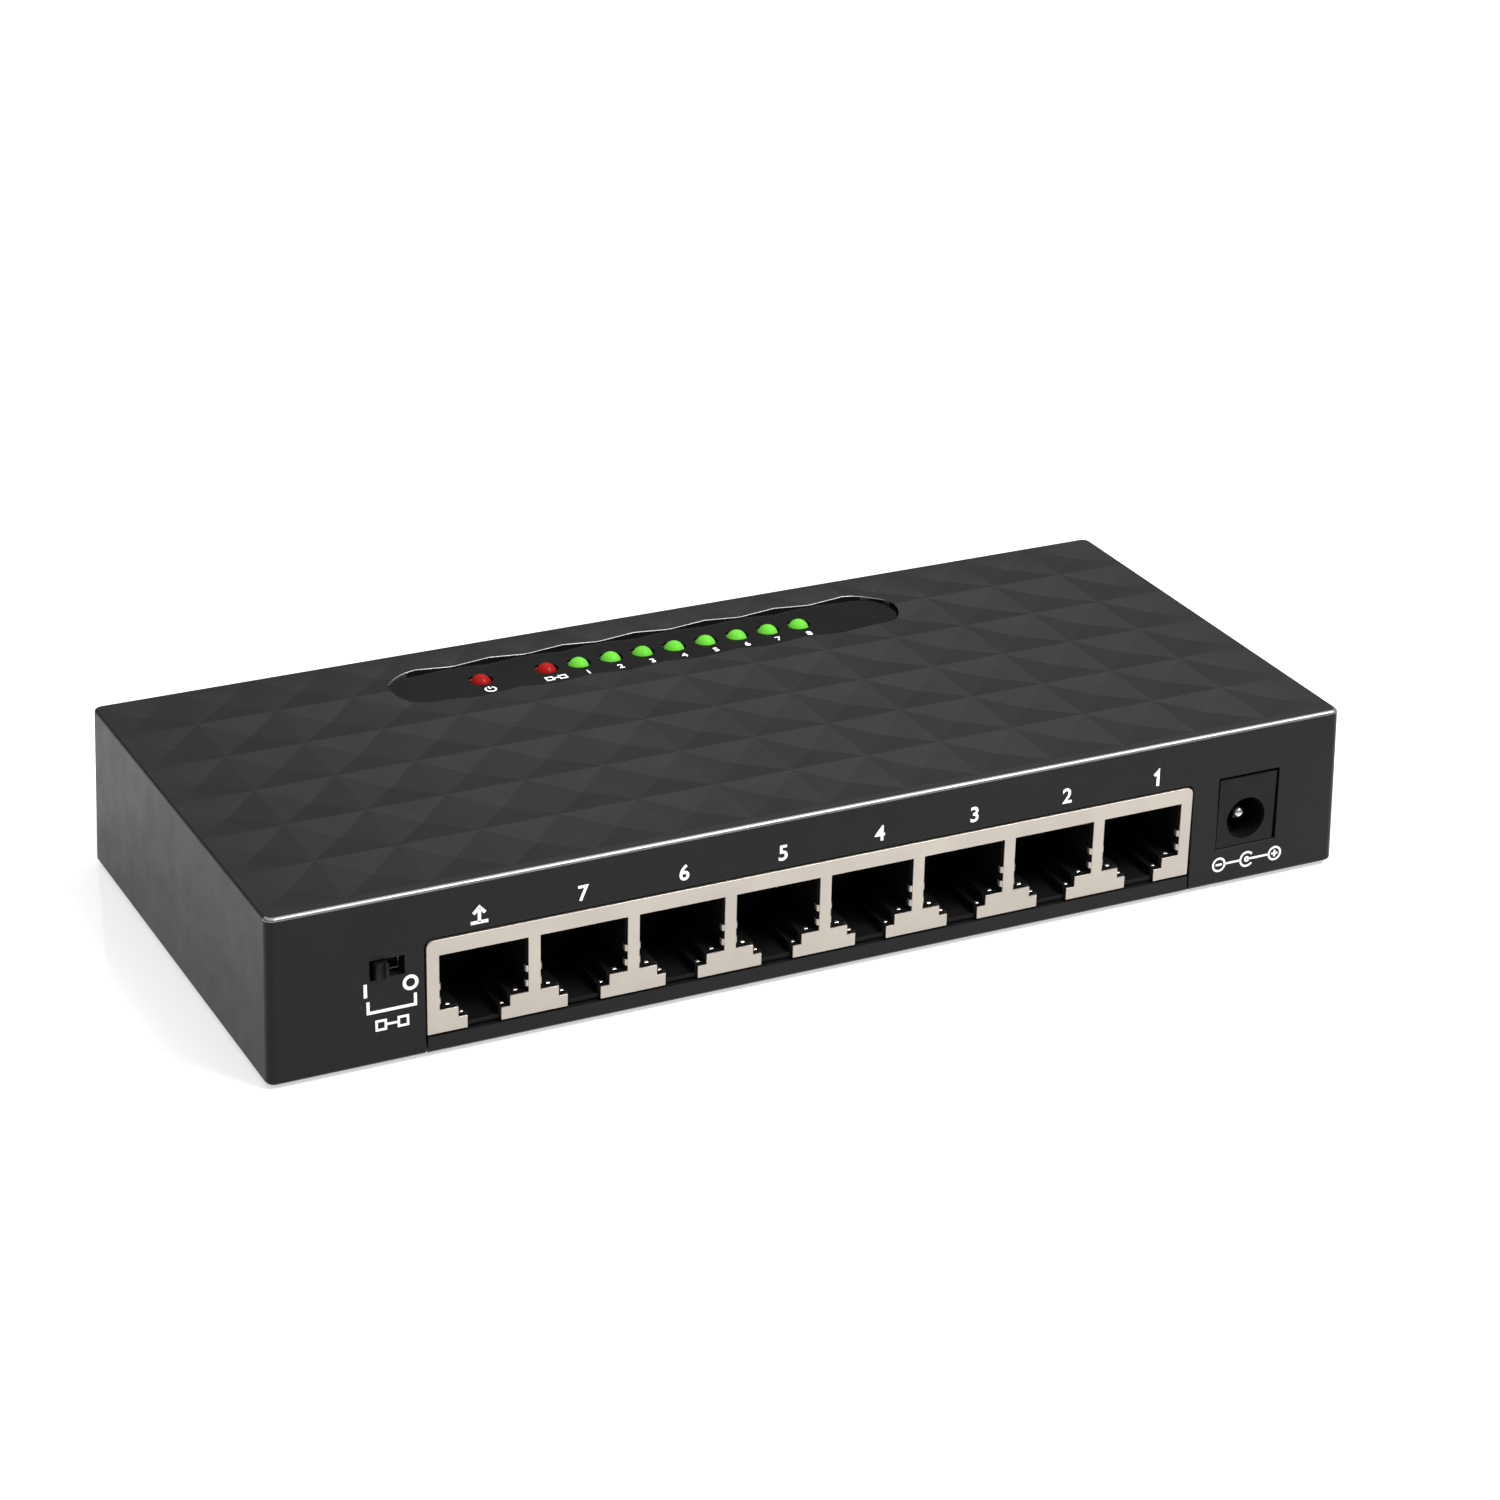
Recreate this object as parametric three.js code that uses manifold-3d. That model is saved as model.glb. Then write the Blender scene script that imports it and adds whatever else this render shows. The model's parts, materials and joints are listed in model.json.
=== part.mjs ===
// An eight-port desktop network switch: a two-part black plastic case around one circuit board,
// which carries a shielded eight-way jack block, a DC inlet, a slide switch and ten indicator lamps.
// Millimetres, +Z up. The origin is on the resting plane, under the middle of the case. The ports
// face -Y, and +X is to the right of someone who looks at them.
import * as THREE from "three";
import { mergeVertices } from "three/addons/utils/BufferGeometryUtils.js";
import Module from "manifold-3d";

const wasm = await Module();
wasm.setup();

// ---------------------------------------------------------------- driving dimensions

const GAP = 0.25; // left between two pieces that touch
const THROUGH = 1; // how far a cutting tool runs past the face it cuts

// Case
const CASE_WIDTH = 158.3; // across the top
const CASE_DEPTH = 69.6; // across the top
const CASE_HEIGHT = 23.2; // from the bottom rim to the ridges of the top
const CASE_DRAFT = 0.56; // each wall leans out by this much on its way down
const CASE_WALL = 2;
const CORNER_RADIUS = 1.2; // upright corners
const EDGE_RADIUS = 0.45; // round the top
const RIM_CHAMFER = 0.3; // round the bottom
const FLOOR_THICKNESS = 1;
const LIP_STANDOFF = 0.8; // from the front of the plate to the back of the lip above it
const RIB_HEIGHT = 2.6; // above the floor, inside the walls
const RIB_WIDTH = 1.2;
const REAR_RIB_HALF_LENGTH = 68;
const FOOT_PROUD = 0.6;

// Faceted top: square cells, each a shallow four-sided pit
const CELL = 11.3;
const CELLS_ACROSS = 14;
const CELLS_DEEP = 6;
const PIT_DEPTH = 0.45;

// Lamp window, a pill-shaped recess with a thin printed film in it
const WINDOW_Y = 23.35;
const WINDOW_HALF_LENGTH = 39.6;
const WINDOW_HALF_WIDTH = 5.5;
const WINDOW_DEPTH = 0.6; // from the ridges to the film's face
const FILM_THICKNESS = 0.2;

// Lamps
const LAMP_PITCH = 5;
const LAMP_FIRST_X = -26.2;
const LAMP_NAMES = ["power", null, "vlan", "port_1", "port_2", "port_3", "port_4"];
LAMP_NAMES.push("port_5", "port_6", "port_7", "port_8");
const LAMP_RADIUS = 1.5;
const LAMP_LENGTH = 5.3; // of the moulded body
const LAMP_PROUD = 0.75; // above the film
const LAMP_FLANGE_RADIUS = 1.9;
const LAMP_FLANGE_HEIGHT = 1;
const LAMP_LEG = 0.5;
const LAMP_LEG_SPACING = 2.54;

// Circuit board
const BOARD_THICKNESS = 1;
const BOARD_HALF_WIDTH = 75.6;
const BOARD_FRONT = -33;
const BOARD_REAR = 28.5;
const BOARD_NOTCH_X = 69; // the corners are cut out beyond this, round the screw bosses
const BOARD_NOTCH_Y = 25.3;

// Jack block
const PORT_COUNT = 8;
const PORT_PITCH = 13.97;
const BLOCK_CENTRE_X = -1.35;
const BLOCK_WIDTH = 113.5;
const BLOCK_FRONT = -35.15;
const BLOCK_DEPTH = 15.6;
const BLOCK_TOP = 16.5;
const BLOCK_CORNER = 0.9; // radius of its two upper corners
const SHIELD_SHEET = 0.3;
const PORT_HALF_WIDTHS = [6.15, 3.58, 2.33]; // of the plug's body, its latch and the latch's tail
const PORT_LEVELS = [14.26, 6.36, 4.86]; // top of each of them
const PORT_INSET = 0.16; // the moulding shows this much inside the shield
const PORT_DEPTH = 12.1;
const PORT_SILL = 3.75; // bottom of the moulding's hollow

// Port contacts
const WIRE_COUNT = 8;
const WIRE_PITCH = 1.02;
const WIRE_WIDTH = 0.4;
const WIRE_THICKNESS = 0.3;

// DC inlet
const INLET_LEFT = 59.9;
const INLET_RIGHT = 69.1;
const INLET_TOP = 16.5;
const INLET_NOSE_BOTTOM = 6.05;
const INLET_FRONT = -35.1;
const INLET_SHOULDER = -33;
const INLET_REAR = -21;
const BARREL_X = 64.5;
const BARREL_Z = 10.05;
const BARREL_RADIUS = 3.1;
const BARREL_END = -25.5;
const PIN_RADIUS = 1;
const PIN_TIP = -33.8;
const PIN_LUG_HALF_WIDTH = 1.2;
const SPRING_HALF_WIDTH = 1;
const SPRING_SHEET = 0.3;
const SPRING_FRONT = -31.6;
const SPRING_CREST_Y = -29.2;
const SPRING_CREST = 0.25; // it stands this much into the barrel
const SPRING_SEAT = 1.4; // bottom of its slot, above the board
const INLET_CLEARANCE = { left: 0.12, right: 0.5, bottom: 0.12, top: 0.3 }; // in the case's opening

// Slide switch
const SLOT_CENTRE_X = -63.35;
const SLOT_CENTRE_Z = 13.95;
const SLOT_WIDTH = 4.7;
const SLOT_HEIGHT = 2.7;
const KNOB_X = -64.33; // at rest, at the left end of its travel
const KNOB_WIDTH = 1.85;
const KNOB_HEIGHT = 2.2;
const KNOB_FRONT = -36.05;
const SWITCH_FRONT = -32.75;
const SWITCH_HALF_WIDTH = 4.3;
const SWITCH_HALF_HEIGHT = 2;
const SWITCH_SHEET = 0.3;
const SWITCH_DEPTH = 3.75;
const SWITCH_WINDOW_HALF_WIDTH = 2.25;
const SWITCH_WINDOW_HALF_HEIGHT = 1.4;
const SLIDER_HALF_WIDTH = 2.2;
const SLIDER_THICKNESS = 0.95;
const TERMINAL_PITCH = 2;
const TERMINAL_SIZE = 0.6;

// Screws, feet and label
const SCREW_X = 72.8;
const SCREW_Y = 29.3;
const SCREW_HEAD_RADIUS = 2.6;
const SCREW_RADIUS = 1.25;
const SCREW_TIP = 8;
const BOSS_RADIUS = 3;
const BOSS_FOOT = 1.3; // above the floor
const PAD_RADIUS = 3.5;
const PAD_HEIGHT = 0.9; // above the floor
const FOOT_X = 62;
const FOOT_Y = 26;
const FOOT_RADIUS = 5;
const FOOT_POCKET = 0.5;
const LABEL_HALF_WIDTH = 32;
const LABEL_HALF_DEPTH = 14;
const LABEL_RECESS = 0.4;
const LABEL_THICKNESS = 0.15;

// Vents, a group of slots on either side of the label
const VENTS_PER_SIDE = 5;
const VENT_FIRST_X = 38.5;
const VENT_PITCH = 3.6;
const VENT_HALF_WIDTH = 0.8;
const VENT_HALF_LENGTH = 9;

// ---------------------------------------------------------------- heights that follow

const RIM = FOOT_PROUD;
const RIDGE = RIM + CASE_HEIGHT;
const CEILING = RIDGE - CASE_WALL;
const FLOOR = RIM + FLOOR_THICKNESS;
const BOARD_UNDER = FLOOR + GAP;
const BOARD_TOP = BOARD_UNDER + BOARD_THICKNESS;
const ON_BOARD = BOARD_TOP + GAP; // where a piece on the board begins
const FILM_TOP = RIDGE - WINDOW_DEPTH;
const BLOCK_LEFT = BLOCK_CENTRE_X - BLOCK_WIDTH / 2;
const BLOCK_RIGHT = BLOCK_CENTRE_X + BLOCK_WIDTH / 2;
const HOUSING_FRONT = BLOCK_FRONT + SHIELD_SHEET + GAP;

// ---------------------------------------------------------------- solids

const X = new THREE.Vector3(1, 0, 0);
const Y = new THREE.Vector3(0, 1, 0);
const Z = new THREE.Vector3(0, 0, 1);

// A closed three.js geometry as a solid that can be joined and cut.
function solidOf(geometry) {
  geometry.deleteAttribute("normal");
  geometry.deleteAttribute("uv");
  const merged = mergeVertices(geometry);
  const vertProperties = merged.attributes.position.array;
  const triVerts = new Uint32Array(merged.index.array);
  return new wasm.Manifold(new wasm.Mesh({ numProp: 3, vertProperties, triVerts }));
}

function geometryOf(solid) {
  const { vertProperties, triVerts } = solid.getMesh();
  const indexed = new THREE.BufferGeometry();
  indexed.setAttribute("position", new THREE.BufferAttribute(vertProperties, 3));
  indexed.setIndex(new THREE.BufferAttribute(triVerts, 1));
  const geometry = indexed.toNonIndexed();
  geometry.computeVertexNormals();
  return geometry;
}

const join = (...solids) => solids.flat().reduce((whole, solid) => whole.add(solid));
const cut = (whole, ...tools) => tools.flat().reduce((rest, tool) => rest.subtract(tool), whole);
const numbers = (count) => Array.from({ length: count }, (_, i) => i);
const corners = (x, y) => [[-x, -y], [x, -y], [x, y], [-x, y]];

// A solid with the given points and triangles.
function meshed(points, triangles) {
  const geometry = new THREE.BufferGeometry();
  geometry.setAttribute("position", new THREE.Float32BufferAttribute(points.flat(), 3));
  geometry.setIndex(triangles.flat());
  return solidOf(geometry);
}

// A block between two opposite corners.
function block([x0, y0, z0], [x1, y1, z1]) {
  const geometry = new THREE.BoxGeometry(x1 - x0, y1 - y0, z1 - z0);
  geometry.translate((x0 + x1) / 2, (y0 + y1) / 2, (z0 + z1) / 2);
  return solidOf(geometry);
}

// An outline carried along an axis. Its points are (x, y) along Z, (x, z) along Y and (y, z) along X.
function prism(axis, points, from, to) {
  const shape = new THREE.Shape(points.map(([u, v]) => new THREE.Vector2(u, v)));
  const geometry = new THREE.ExtrudeGeometry(shape, { depth: to - from, bevelEnabled: false });
  const bases = { x: [Y, Z, X], y: [X, Z, Y.clone().negate()], z: [X, Y, Z] };
  const [, , along] = bases[axis];
  geometry.applyMatrix4(new THREE.Matrix4().makeBasis(...bases[axis]));
  geometry.translate(...along.clone().multiplyScalar(axis === "y" ? -to : from));
  return solidOf(geometry);
}

function circle([u, v], radius, sides) {
  return numbers(sides).map((i) => {
    const angle = ((i + 0.5) / sides) * 2 * Math.PI;
    return [u + radius * Math.cos(angle), v + radius * Math.sin(angle)];
  });
}

const rod = (axis, centre, radius, from, to, sides = 24) =>
  prism(axis, circle(centre, radius, sides), from, to);

// A pill: a rectangle with half-round ends, lying along X or along Y.
function pill([x, y], halfX, halfY, steps) {
  const radius = Math.min(halfX, halfY);
  return roundedRing(halfX, halfY, radius, 0, steps).map(([u, v]) => [x + u, y + v]);
}

// A rectangle with round corners at height z, anticlockwise from above.
function roundedRing(halfX, halfY, radius, z, steps = 3) {
  return [[1, 1], [-1, 1], [-1, -1], [1, -1]].flatMap(([sideX, sideY], quarter) =>
    numbers(steps + 1).map((i) => {
      const angle = ((quarter + i / steps) * Math.PI) / 2;
      const x = sideX * (halfX - radius) + radius * Math.cos(angle);
      const y = sideY * (halfY - radius) + radius * Math.sin(angle);
      return [x, y, z];
    }),
  );
}

// A solid through rings with the same number of points, stacked from the bottom up.
function loft(rings) {
  const count = rings[0].length;
  const last = (rings.length - 1) * count;
  const triangles = [];
  for (let start = 0; start < last; start += count)
    for (let i = 0; i < count; i++) {
      const a = start + i;
      const b = start + ((i + 1) % count);
      triangles.push([a, b, b + count], [a, b + count, a + count]);
    }
  for (let i = 1; i < count - 1; i++)
    triangles.push([0, i + 1, i], [last, last + i, last + i + 1]);
  return meshed(rings.flat(), triangles);
}

// A profile of (radius, height) points, from the axis at the bottom to the axis at the top, turned
// about the Z axis.
function turned(profile, sides) {
  const points = profile.map(([radius, height]) => new THREE.Vector2(radius, height));
  const geometry = new THREE.LatheGeometry(points, sides);
  geometry.rotateX(Math.PI / 2);
  return solidOf(geometry);
}

// ---------------------------------------------------------------- case

const lean = (z) => CASE_DRAFT * (1 - (z - RIM) / CASE_HEIGHT);

// The outside of the case at height z, moved inwards by inset.
function caseRing(z, inset, radius) {
  const spread = lean(z) - inset;
  return roundedRing(CASE_WIDTH / 2 + spread, CASE_DEPTH / 2 + spread, radius, z);
}

// Everything above the top's faceted surface. The cells fill the top apart from a flat strip along
// the front edge.
function aboveFacets() {
  const halfAcross = (CELLS_ACROSS * CELL) / 2;
  const rear = CASE_DEPTH / 2;
  const front = rear - CELLS_DEEP * CELL;
  const outside = 20;
  const sky = RIDGE + 10;
  const xs = [-halfAcross - outside, ...numbers(CELLS_ACROSS + 1).map((i) => i * CELL - halfAcross)];
  xs.push(halfAcross + outside);
  const ys = [front - outside, ...numbers(CELLS_DEEP + 1).map((i) => front + i * CELL)];
  ys.push(rear + outside);
  const columns = xs.length;
  const points = [RIDGE, sky].flatMap((z) => ys.flatMap((y) => xs.map((x) => [x, y, z])));
  const upper = columns * ys.length;
  const triangles = [];
  for (let row = 0; row < ys.length - 1; row++)
    for (let column = 0; column < columns - 1; column++) {
      const a = row * columns + column;
      const [b, c, d] = [a + 1, a + columns + 1, a + columns];
      triangles.push([a + upper, b + upper, c + upper], [a + upper, c + upper, d + upper]);
      const isRim = row === 0 || row === ys.length - 2 || column === 0 || column === columns - 2;
      if (isRim) {
        triangles.push([a, c, b], [a, d, c]);
        continue;
      }
      const pit = points.length;
      points.push([(xs[column] + xs[column + 1]) / 2, (ys[row] + ys[row + 1]) / 2, RIDGE - PIT_DEPTH]);
      triangles.push([b, a, pit], [c, b, pit], [d, c, pit], [a, d, pit]);
    }
  const border = [
    ...numbers(columns).map((i) => i),
    ...numbers(ys.length - 1).map((i) => (i + 2) * columns - 1),
    ...numbers(columns - 1).map((i) => upper - 2 - i),
    ...numbers(ys.length - 2).map((i) => (ys.length - 2 - i) * columns),
  ];
  border.forEach((a, i) => {
    const b = border[(i + 1) % border.length];
    triangles.push([a, b, b + upper], [a, b + upper, a + upper]);
  });
  return meshed(points, triangles);
}

const lampX = (place) => LAMP_FIRST_X + place * LAMP_PITCH;
const lampPlaces = LAMP_NAMES.flatMap((name, place) => (name ? [{ name, x: lampX(place) }] : []));
const lampHoles = (from, to) =>
  lampPlaces.map(({ x }) => rod("z", [x, WINDOW_Y], LAMP_RADIUS + GAP, from, to, 14));

function topCover() {
  const edgeSteps = 3;
  const roundedEdge = numbers(edgeSteps + 1).map((i) => {
    const angle = ((i / edgeSteps) * Math.PI) / 2;
    const inset = EDGE_RADIUS * (1 - Math.cos(angle));
    const z = RIDGE - EDGE_RADIUS * (1 - Math.sin(angle));
    return caseRing(z, inset, CORNER_RADIUS - inset);
  });
  const outside = loft([
    caseRing(RIM, RIM_CHAMFER, CORNER_RADIUS - RIM_CHAMFER),
    caseRing(RIM + RIM_CHAMFER, 0, CORNER_RADIUS),
    ...roundedEdge,
    caseRing(RIDGE + THROUGH, EDGE_RADIUS, CORNER_RADIUS - EDGE_RADIUS),
  ]);
  const hollowRadius = 0.6;
  const hollow = loft([
    caseRing(RIM - THROUGH, CASE_WALL, hollowRadius),
    caseRing(CEILING, CASE_WALL, hollowRadius),
  ]);
  const bossFoot = FLOOR + BOSS_FOOT;
  const pilotEnd = SCREW_TIP + 1;
  const bosses = corners(SCREW_X, SCREW_Y).map((at) =>
    cut(
      rod("z", at, BOSS_RADIUS, bossFoot, CEILING + THROUGH, 14),
      rod("z", at, SCREW_RADIUS + GAP, bossFoot - THROUGH, pilotEnd, 10),
    ),
  );
  const wallFrom = -CASE_DEPTH;
  const wallTo = -CASE_DEPTH / 2 + CASE_WALL + THROUGH / 2;
  const slotX = SLOT_WIDTH / 2;
  const slotZ = SLOT_HEIGHT / 2;
  const openings = [
    prism("y", blockOutline(-GAP, -THROUGH), wallFrom, wallTo),
    block(
      [INLET_LEFT - INLET_CLEARANCE.left, wallFrom, INLET_NOSE_BOTTOM - INLET_CLEARANCE.bottom],
      [INLET_RIGHT + INLET_CLEARANCE.right, wallTo, INLET_TOP + INLET_CLEARANCE.top],
    ),
    block(
      [SLOT_CENTRE_X - slotX, wallFrom, SLOT_CENTRE_Z - slotZ],
      [SLOT_CENTRE_X + slotX, wallTo, SLOT_CENTRE_Z + slotZ],
    ),
  ];
  const recessFloor = FILM_TOP - FILM_THICKNESS - GAP;
  const recess = prism(
    "z",
    pill([0, WINDOW_Y], WINDOW_HALF_LENGTH, WINDOW_HALF_WIDTH, 7),
    recessFloor,
    RIDGE + THROUGH,
  );
  const shell = cut(outside, hollow, aboveFacets(), recess, openings);
  return cut(join(shell, bosses), lampHoles(CEILING - THROUGH, RIDGE));
}

function windowFilm() {
  const outline = pill([0, WINDOW_Y], WINDOW_HALF_LENGTH - GAP, WINDOW_HALF_WIDTH - GAP, 7);
  const film = prism("z", outline, FILM_TOP - FILM_THICKNESS, FILM_TOP);
  return cut(film, lampHoles(FILM_TOP - THROUGH, FILM_TOP + THROUGH));
}

// The base closes the case from below. It has a lip that fills the cover's notch under the jack
// block, a low rib inside three walls, pockets for the feet, a recess for the label and vents.
function bottomBase() {
  const inset = CASE_WALL + GAP;
  const halfX = CASE_WIDTH / 2 + lean(RIM) - inset;
  const halfY = CASE_DEPTH / 2 + lean(RIM) - inset;
  const plate = loft([roundedRing(halfX, halfY, 0.5, RIM), roundedRing(halfX, halfY, 0.5, FLOOR)]);

  const wallY = (z) => -CASE_DEPTH / 2 - lean(z);
  const lipTop = ON_BOARD - GAP;
  const lipBack = -halfY - LIP_STANDOFF;
  const lipOutline = [
    [wallY(RIM) + RIM_CHAMFER, RIM],
    [-halfY + THROUGH, RIM],
    [-halfY + THROUGH, FLOOR],
    [lipBack, FLOOR],
    [lipBack, lipTop],
    [wallY(lipTop), lipTop],
    [wallY(RIM + RIM_CHAMFER), RIM + RIM_CHAMFER],
  ];
  const lip = prism("x", lipOutline, BLOCK_LEFT, BLOCK_RIGHT);

  const ribTop = FLOOR + RIB_HEIGHT;
  const ribBottom = FLOOR - FLOOR_THICKNESS / 2;
  const ribs = [-halfX, halfX - RIB_WIDTH].map((x) =>
    block([x, -BOARD_NOTCH_Y, ribBottom], [x + RIB_WIDTH, BOARD_NOTCH_Y, ribTop]),
  );
  const rearRib = block(
    [-REAR_RIB_HALF_LENGTH, halfY - RIB_WIDTH, ribBottom],
    [REAR_RIB_HALF_LENGTH, halfY, ribTop],
  );

  const padTop = FLOOR + PAD_HEIGHT;
  const pads = corners(SCREW_X, SCREW_Y).map((at) => rod("z", at, PAD_RADIUS, ribBottom, padTop, 16));
  const screwHoles = corners(SCREW_X, SCREW_Y).flatMap((at) => [
    rod("z", at, SCREW_RADIUS + GAP + 0.1, 0, padTop + THROUGH, 10),
    rod("z", at, SCREW_HEAD_RADIUS + GAP, 0, FLOOR, 18),
  ]);
  const pockets = corners(FOOT_X, FOOT_Y).map((at) =>
    rod("z", at, FOOT_RADIUS + GAP, 0, RIM + FOOT_POCKET, 24),
  );
  const labelRecess = block(
    [-LABEL_HALF_WIDTH - GAP, -LABEL_HALF_DEPTH - GAP, 0],
    [LABEL_HALF_WIDTH + GAP, LABEL_HALF_DEPTH + GAP, RIM + LABEL_RECESS],
  );
  const vents = [-1, 1].flatMap((side) =>
    numbers(VENTS_PER_SIDE).map((i) => {
      const x = side * (VENT_FIRST_X + i * VENT_PITCH);
      return prism("z", pill([x, 0], VENT_HALF_WIDTH, VENT_HALF_LENGTH, 2), 0, FLOOR + THROUGH);
    }),
  );
  const solid = join(plate, lip, ribs, rearRib, pads);
  return cut(solid, screwHoles, pockets, labelRecess, vents);
}

function caseScrew() {
  const headTop = FLOOR - GAP;
  const headBottom = RIM + 0.1;
  const profile = [
    [0, headBottom],
    [SCREW_HEAD_RADIUS - 0.25, headBottom],
    [SCREW_HEAD_RADIUS, headBottom + 0.2],
    [SCREW_HEAD_RADIUS, headTop],
    [SCREW_RADIUS, headTop],
    [SCREW_RADIUS, SCREW_TIP - 1],
    [0.5, SCREW_TIP],
    [0, SCREW_TIP],
  ];
  const recessTop = headBottom + 0.4;
  const arm = 1.4;
  const halfArm = 0.3;
  return cut(
    turned(profile, 14),
    block([-arm, -halfArm, 0], [arm, halfArm, recessTop]),
    block([-halfArm, -arm, 0], [halfArm, arm, recessTop]),
  );
}

function rubberFoot() {
  const top = RIM + FOOT_POCKET - GAP;
  const profile = [
    [0, 0],
    [FOOT_RADIUS - 0.3, 0],
    [FOOT_RADIUS, 0.3],
    [FOOT_RADIUS, top],
    [0, top],
  ];
  return turned(profile, 24);
}

const undersideLabel = () =>
  block(
    [-LABEL_HALF_WIDTH, -LABEL_HALF_DEPTH, RIM + 0.05],
    [LABEL_HALF_WIDTH, LABEL_HALF_DEPTH, RIM + 0.05 + LABEL_THICKNESS],
  );

// ---------------------------------------------------------------- jack block

// Ports are numbered from the right, and the eighth, the uplink, is the leftmost.
const portX = (port) => BLOCK_CENTRE_X + ((PORT_COUNT + 1) / 2 - port) * PORT_PITCH;

// The jack block's outline from the front, moved inwards by inset: square at the bottom, with
// rounded upper corners.
function blockOutline(inset, bottom) {
  const steps = 3;
  const radius = BLOCK_CORNER - inset;
  const top = BLOCK_TOP - inset - radius;
  const corner = (x, quarter) =>
    numbers(steps + 1).map((i) => {
      const angle = ((quarter + i / steps) * Math.PI) / 2;
      return [x + radius * Math.cos(angle), top + radius * Math.sin(angle)];
    });
  return [
    [BLOCK_LEFT + inset, bottom],
    [BLOCK_RIGHT - inset, bottom],
    ...corner(BLOCK_RIGHT - inset - radius, 0),
    ...corner(BLOCK_LEFT + inset + radius, 1),
  ];
}

// The stepped outline of a port about its centre line: the plug's body, then its latch, then the
// latch's tail, open or closed at the bottom height.
function portOutline(port, inset, bottom) {
  const tops = PORT_LEVELS.map((level, i) => (i === 0 ? level - inset : level + inset));
  const right = PORT_HALF_WIDTHS.flatMap((half, i) => [
    [half - inset, tops[i]],
    [half - inset, i < 2 ? tops[i + 1] : bottom],
  ]);
  const left = right.map(([x, z]) => [-x, z]).reverse();
  return [...right, ...left].map(([x, z]) => [x + portX(port), z]).reverse();
}

const ports = numbers(PORT_COUNT).map((i) => i + 1);

function jackShield() {
  const rear = BLOCK_FRONT + BLOCK_DEPTH;
  const openings = ports.map((port) =>
    prism("y", portOutline(port, 0, 0), BLOCK_FRONT - THROUGH, BLOCK_FRONT + THROUGH),
  );
  return cut(
    prism("y", blockOutline(0, ON_BOARD), BLOCK_FRONT, rear),
    prism("y", blockOutline(SHIELD_SHEET, 0), BLOCK_FRONT + SHIELD_SHEET, rear - SHIELD_SHEET),
    openings,
  );
}

function jackHousing() {
  const inset = SHIELD_SHEET + GAP;
  const hollows = ports.map((port) =>
    prism(
      "y",
      portOutline(port, PORT_INSET, PORT_SILL),
      HOUSING_FRONT - THROUGH,
      HOUSING_FRONT + PORT_DEPTH,
    ),
  );
  const rear = BLOCK_FRONT + BLOCK_DEPTH - inset;
  return cut(prism("y", blockOutline(inset, ON_BOARD), HOUSING_FRONT, rear), hollows);
}

// Eight spring wires along the roof of a port, about the port's centre line, held by a bar at the
// back. Each runs forward, turns over near the mouth and slopes down towards the back.
function portContacts() {
  const roof = PORT_LEVELS[0] - PORT_INSET - GAP;
  const back = HOUSING_FRONT + PORT_DEPTH - GAP;
  const barFront = back - 0.45;
  const bend = HOUSING_FRONT + 3.2;
  const under = roof - WIRE_THICKNESS;
  const tip = [back - 2.2, roof - 2.65];
  const wire = [
    [back - 0.2, roof],
    [back - 0.2, under],
    [bend + 0.3, under],
    [bend + 0.3, under - 0.3],
    [tip[0], tip[1] + WIRE_THICKNESS],
    [tip[0], tip[1]],
    [bend, under - 0.5],
    [bend - 0.3, under - 0.1],
    [bend, roof],
  ];
  const wires = numbers(WIRE_COUNT).map((i) => {
    const x = (i - (WIRE_COUNT - 1) / 2) * WIRE_PITCH;
    return prism("x", wire, x - WIRE_WIDTH / 2, x + WIRE_WIDTH / 2);
  });
  return join(block([-4.1, barFront, roof - 1.4], [4.1, back, roof]), wires);
}

// ---------------------------------------------------------------- DC inlet

const BARREL = [BARREL_X, BARREL_Z];
const SPRING_LOW = ON_BOARD + SPRING_SEAT;
const SPRING_TAIL_Y = BARREL_END - GAP - SPRING_SHEET;

function inletBody() {
  const nose = block(
    [INLET_LEFT, INLET_FRONT, INLET_NOSE_BOTTOM],
    [INLET_RIGHT, INLET_SHOULDER + THROUGH, INLET_TOP],
  );
  const main = block([INLET_LEFT, INLET_SHOULDER, ON_BOARD], [INLET_RIGHT, INLET_REAR, INLET_TOP]);
  const slotHalf = SPRING_HALF_WIDTH + GAP;
  const springSlot = block(
    [BARREL_X - slotHalf, SPRING_FRONT - 0.4, SPRING_LOW],
    [BARREL_X + slotHalf, BARREL_END, BARREL_Z - BARREL_RADIUS / 2],
  );
  const tailSlot = block(
    [BARREL_X - slotHalf, SPRING_TAIL_Y - 0.55, 0],
    [BARREL_X + slotHalf, BARREL_END, SPRING_LOW + THROUGH],
  );
  return cut(
    join(nose, main),
    rod("y", BARREL, BARREL_RADIUS, INLET_FRONT - THROUGH, BARREL_END, 36),
    rod("y", BARREL, PIN_RADIUS + GAP, BARREL_END - THROUGH, INLET_REAR + THROUGH, 20),
    springSlot,
    tailSlot,
  );
}

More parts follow.
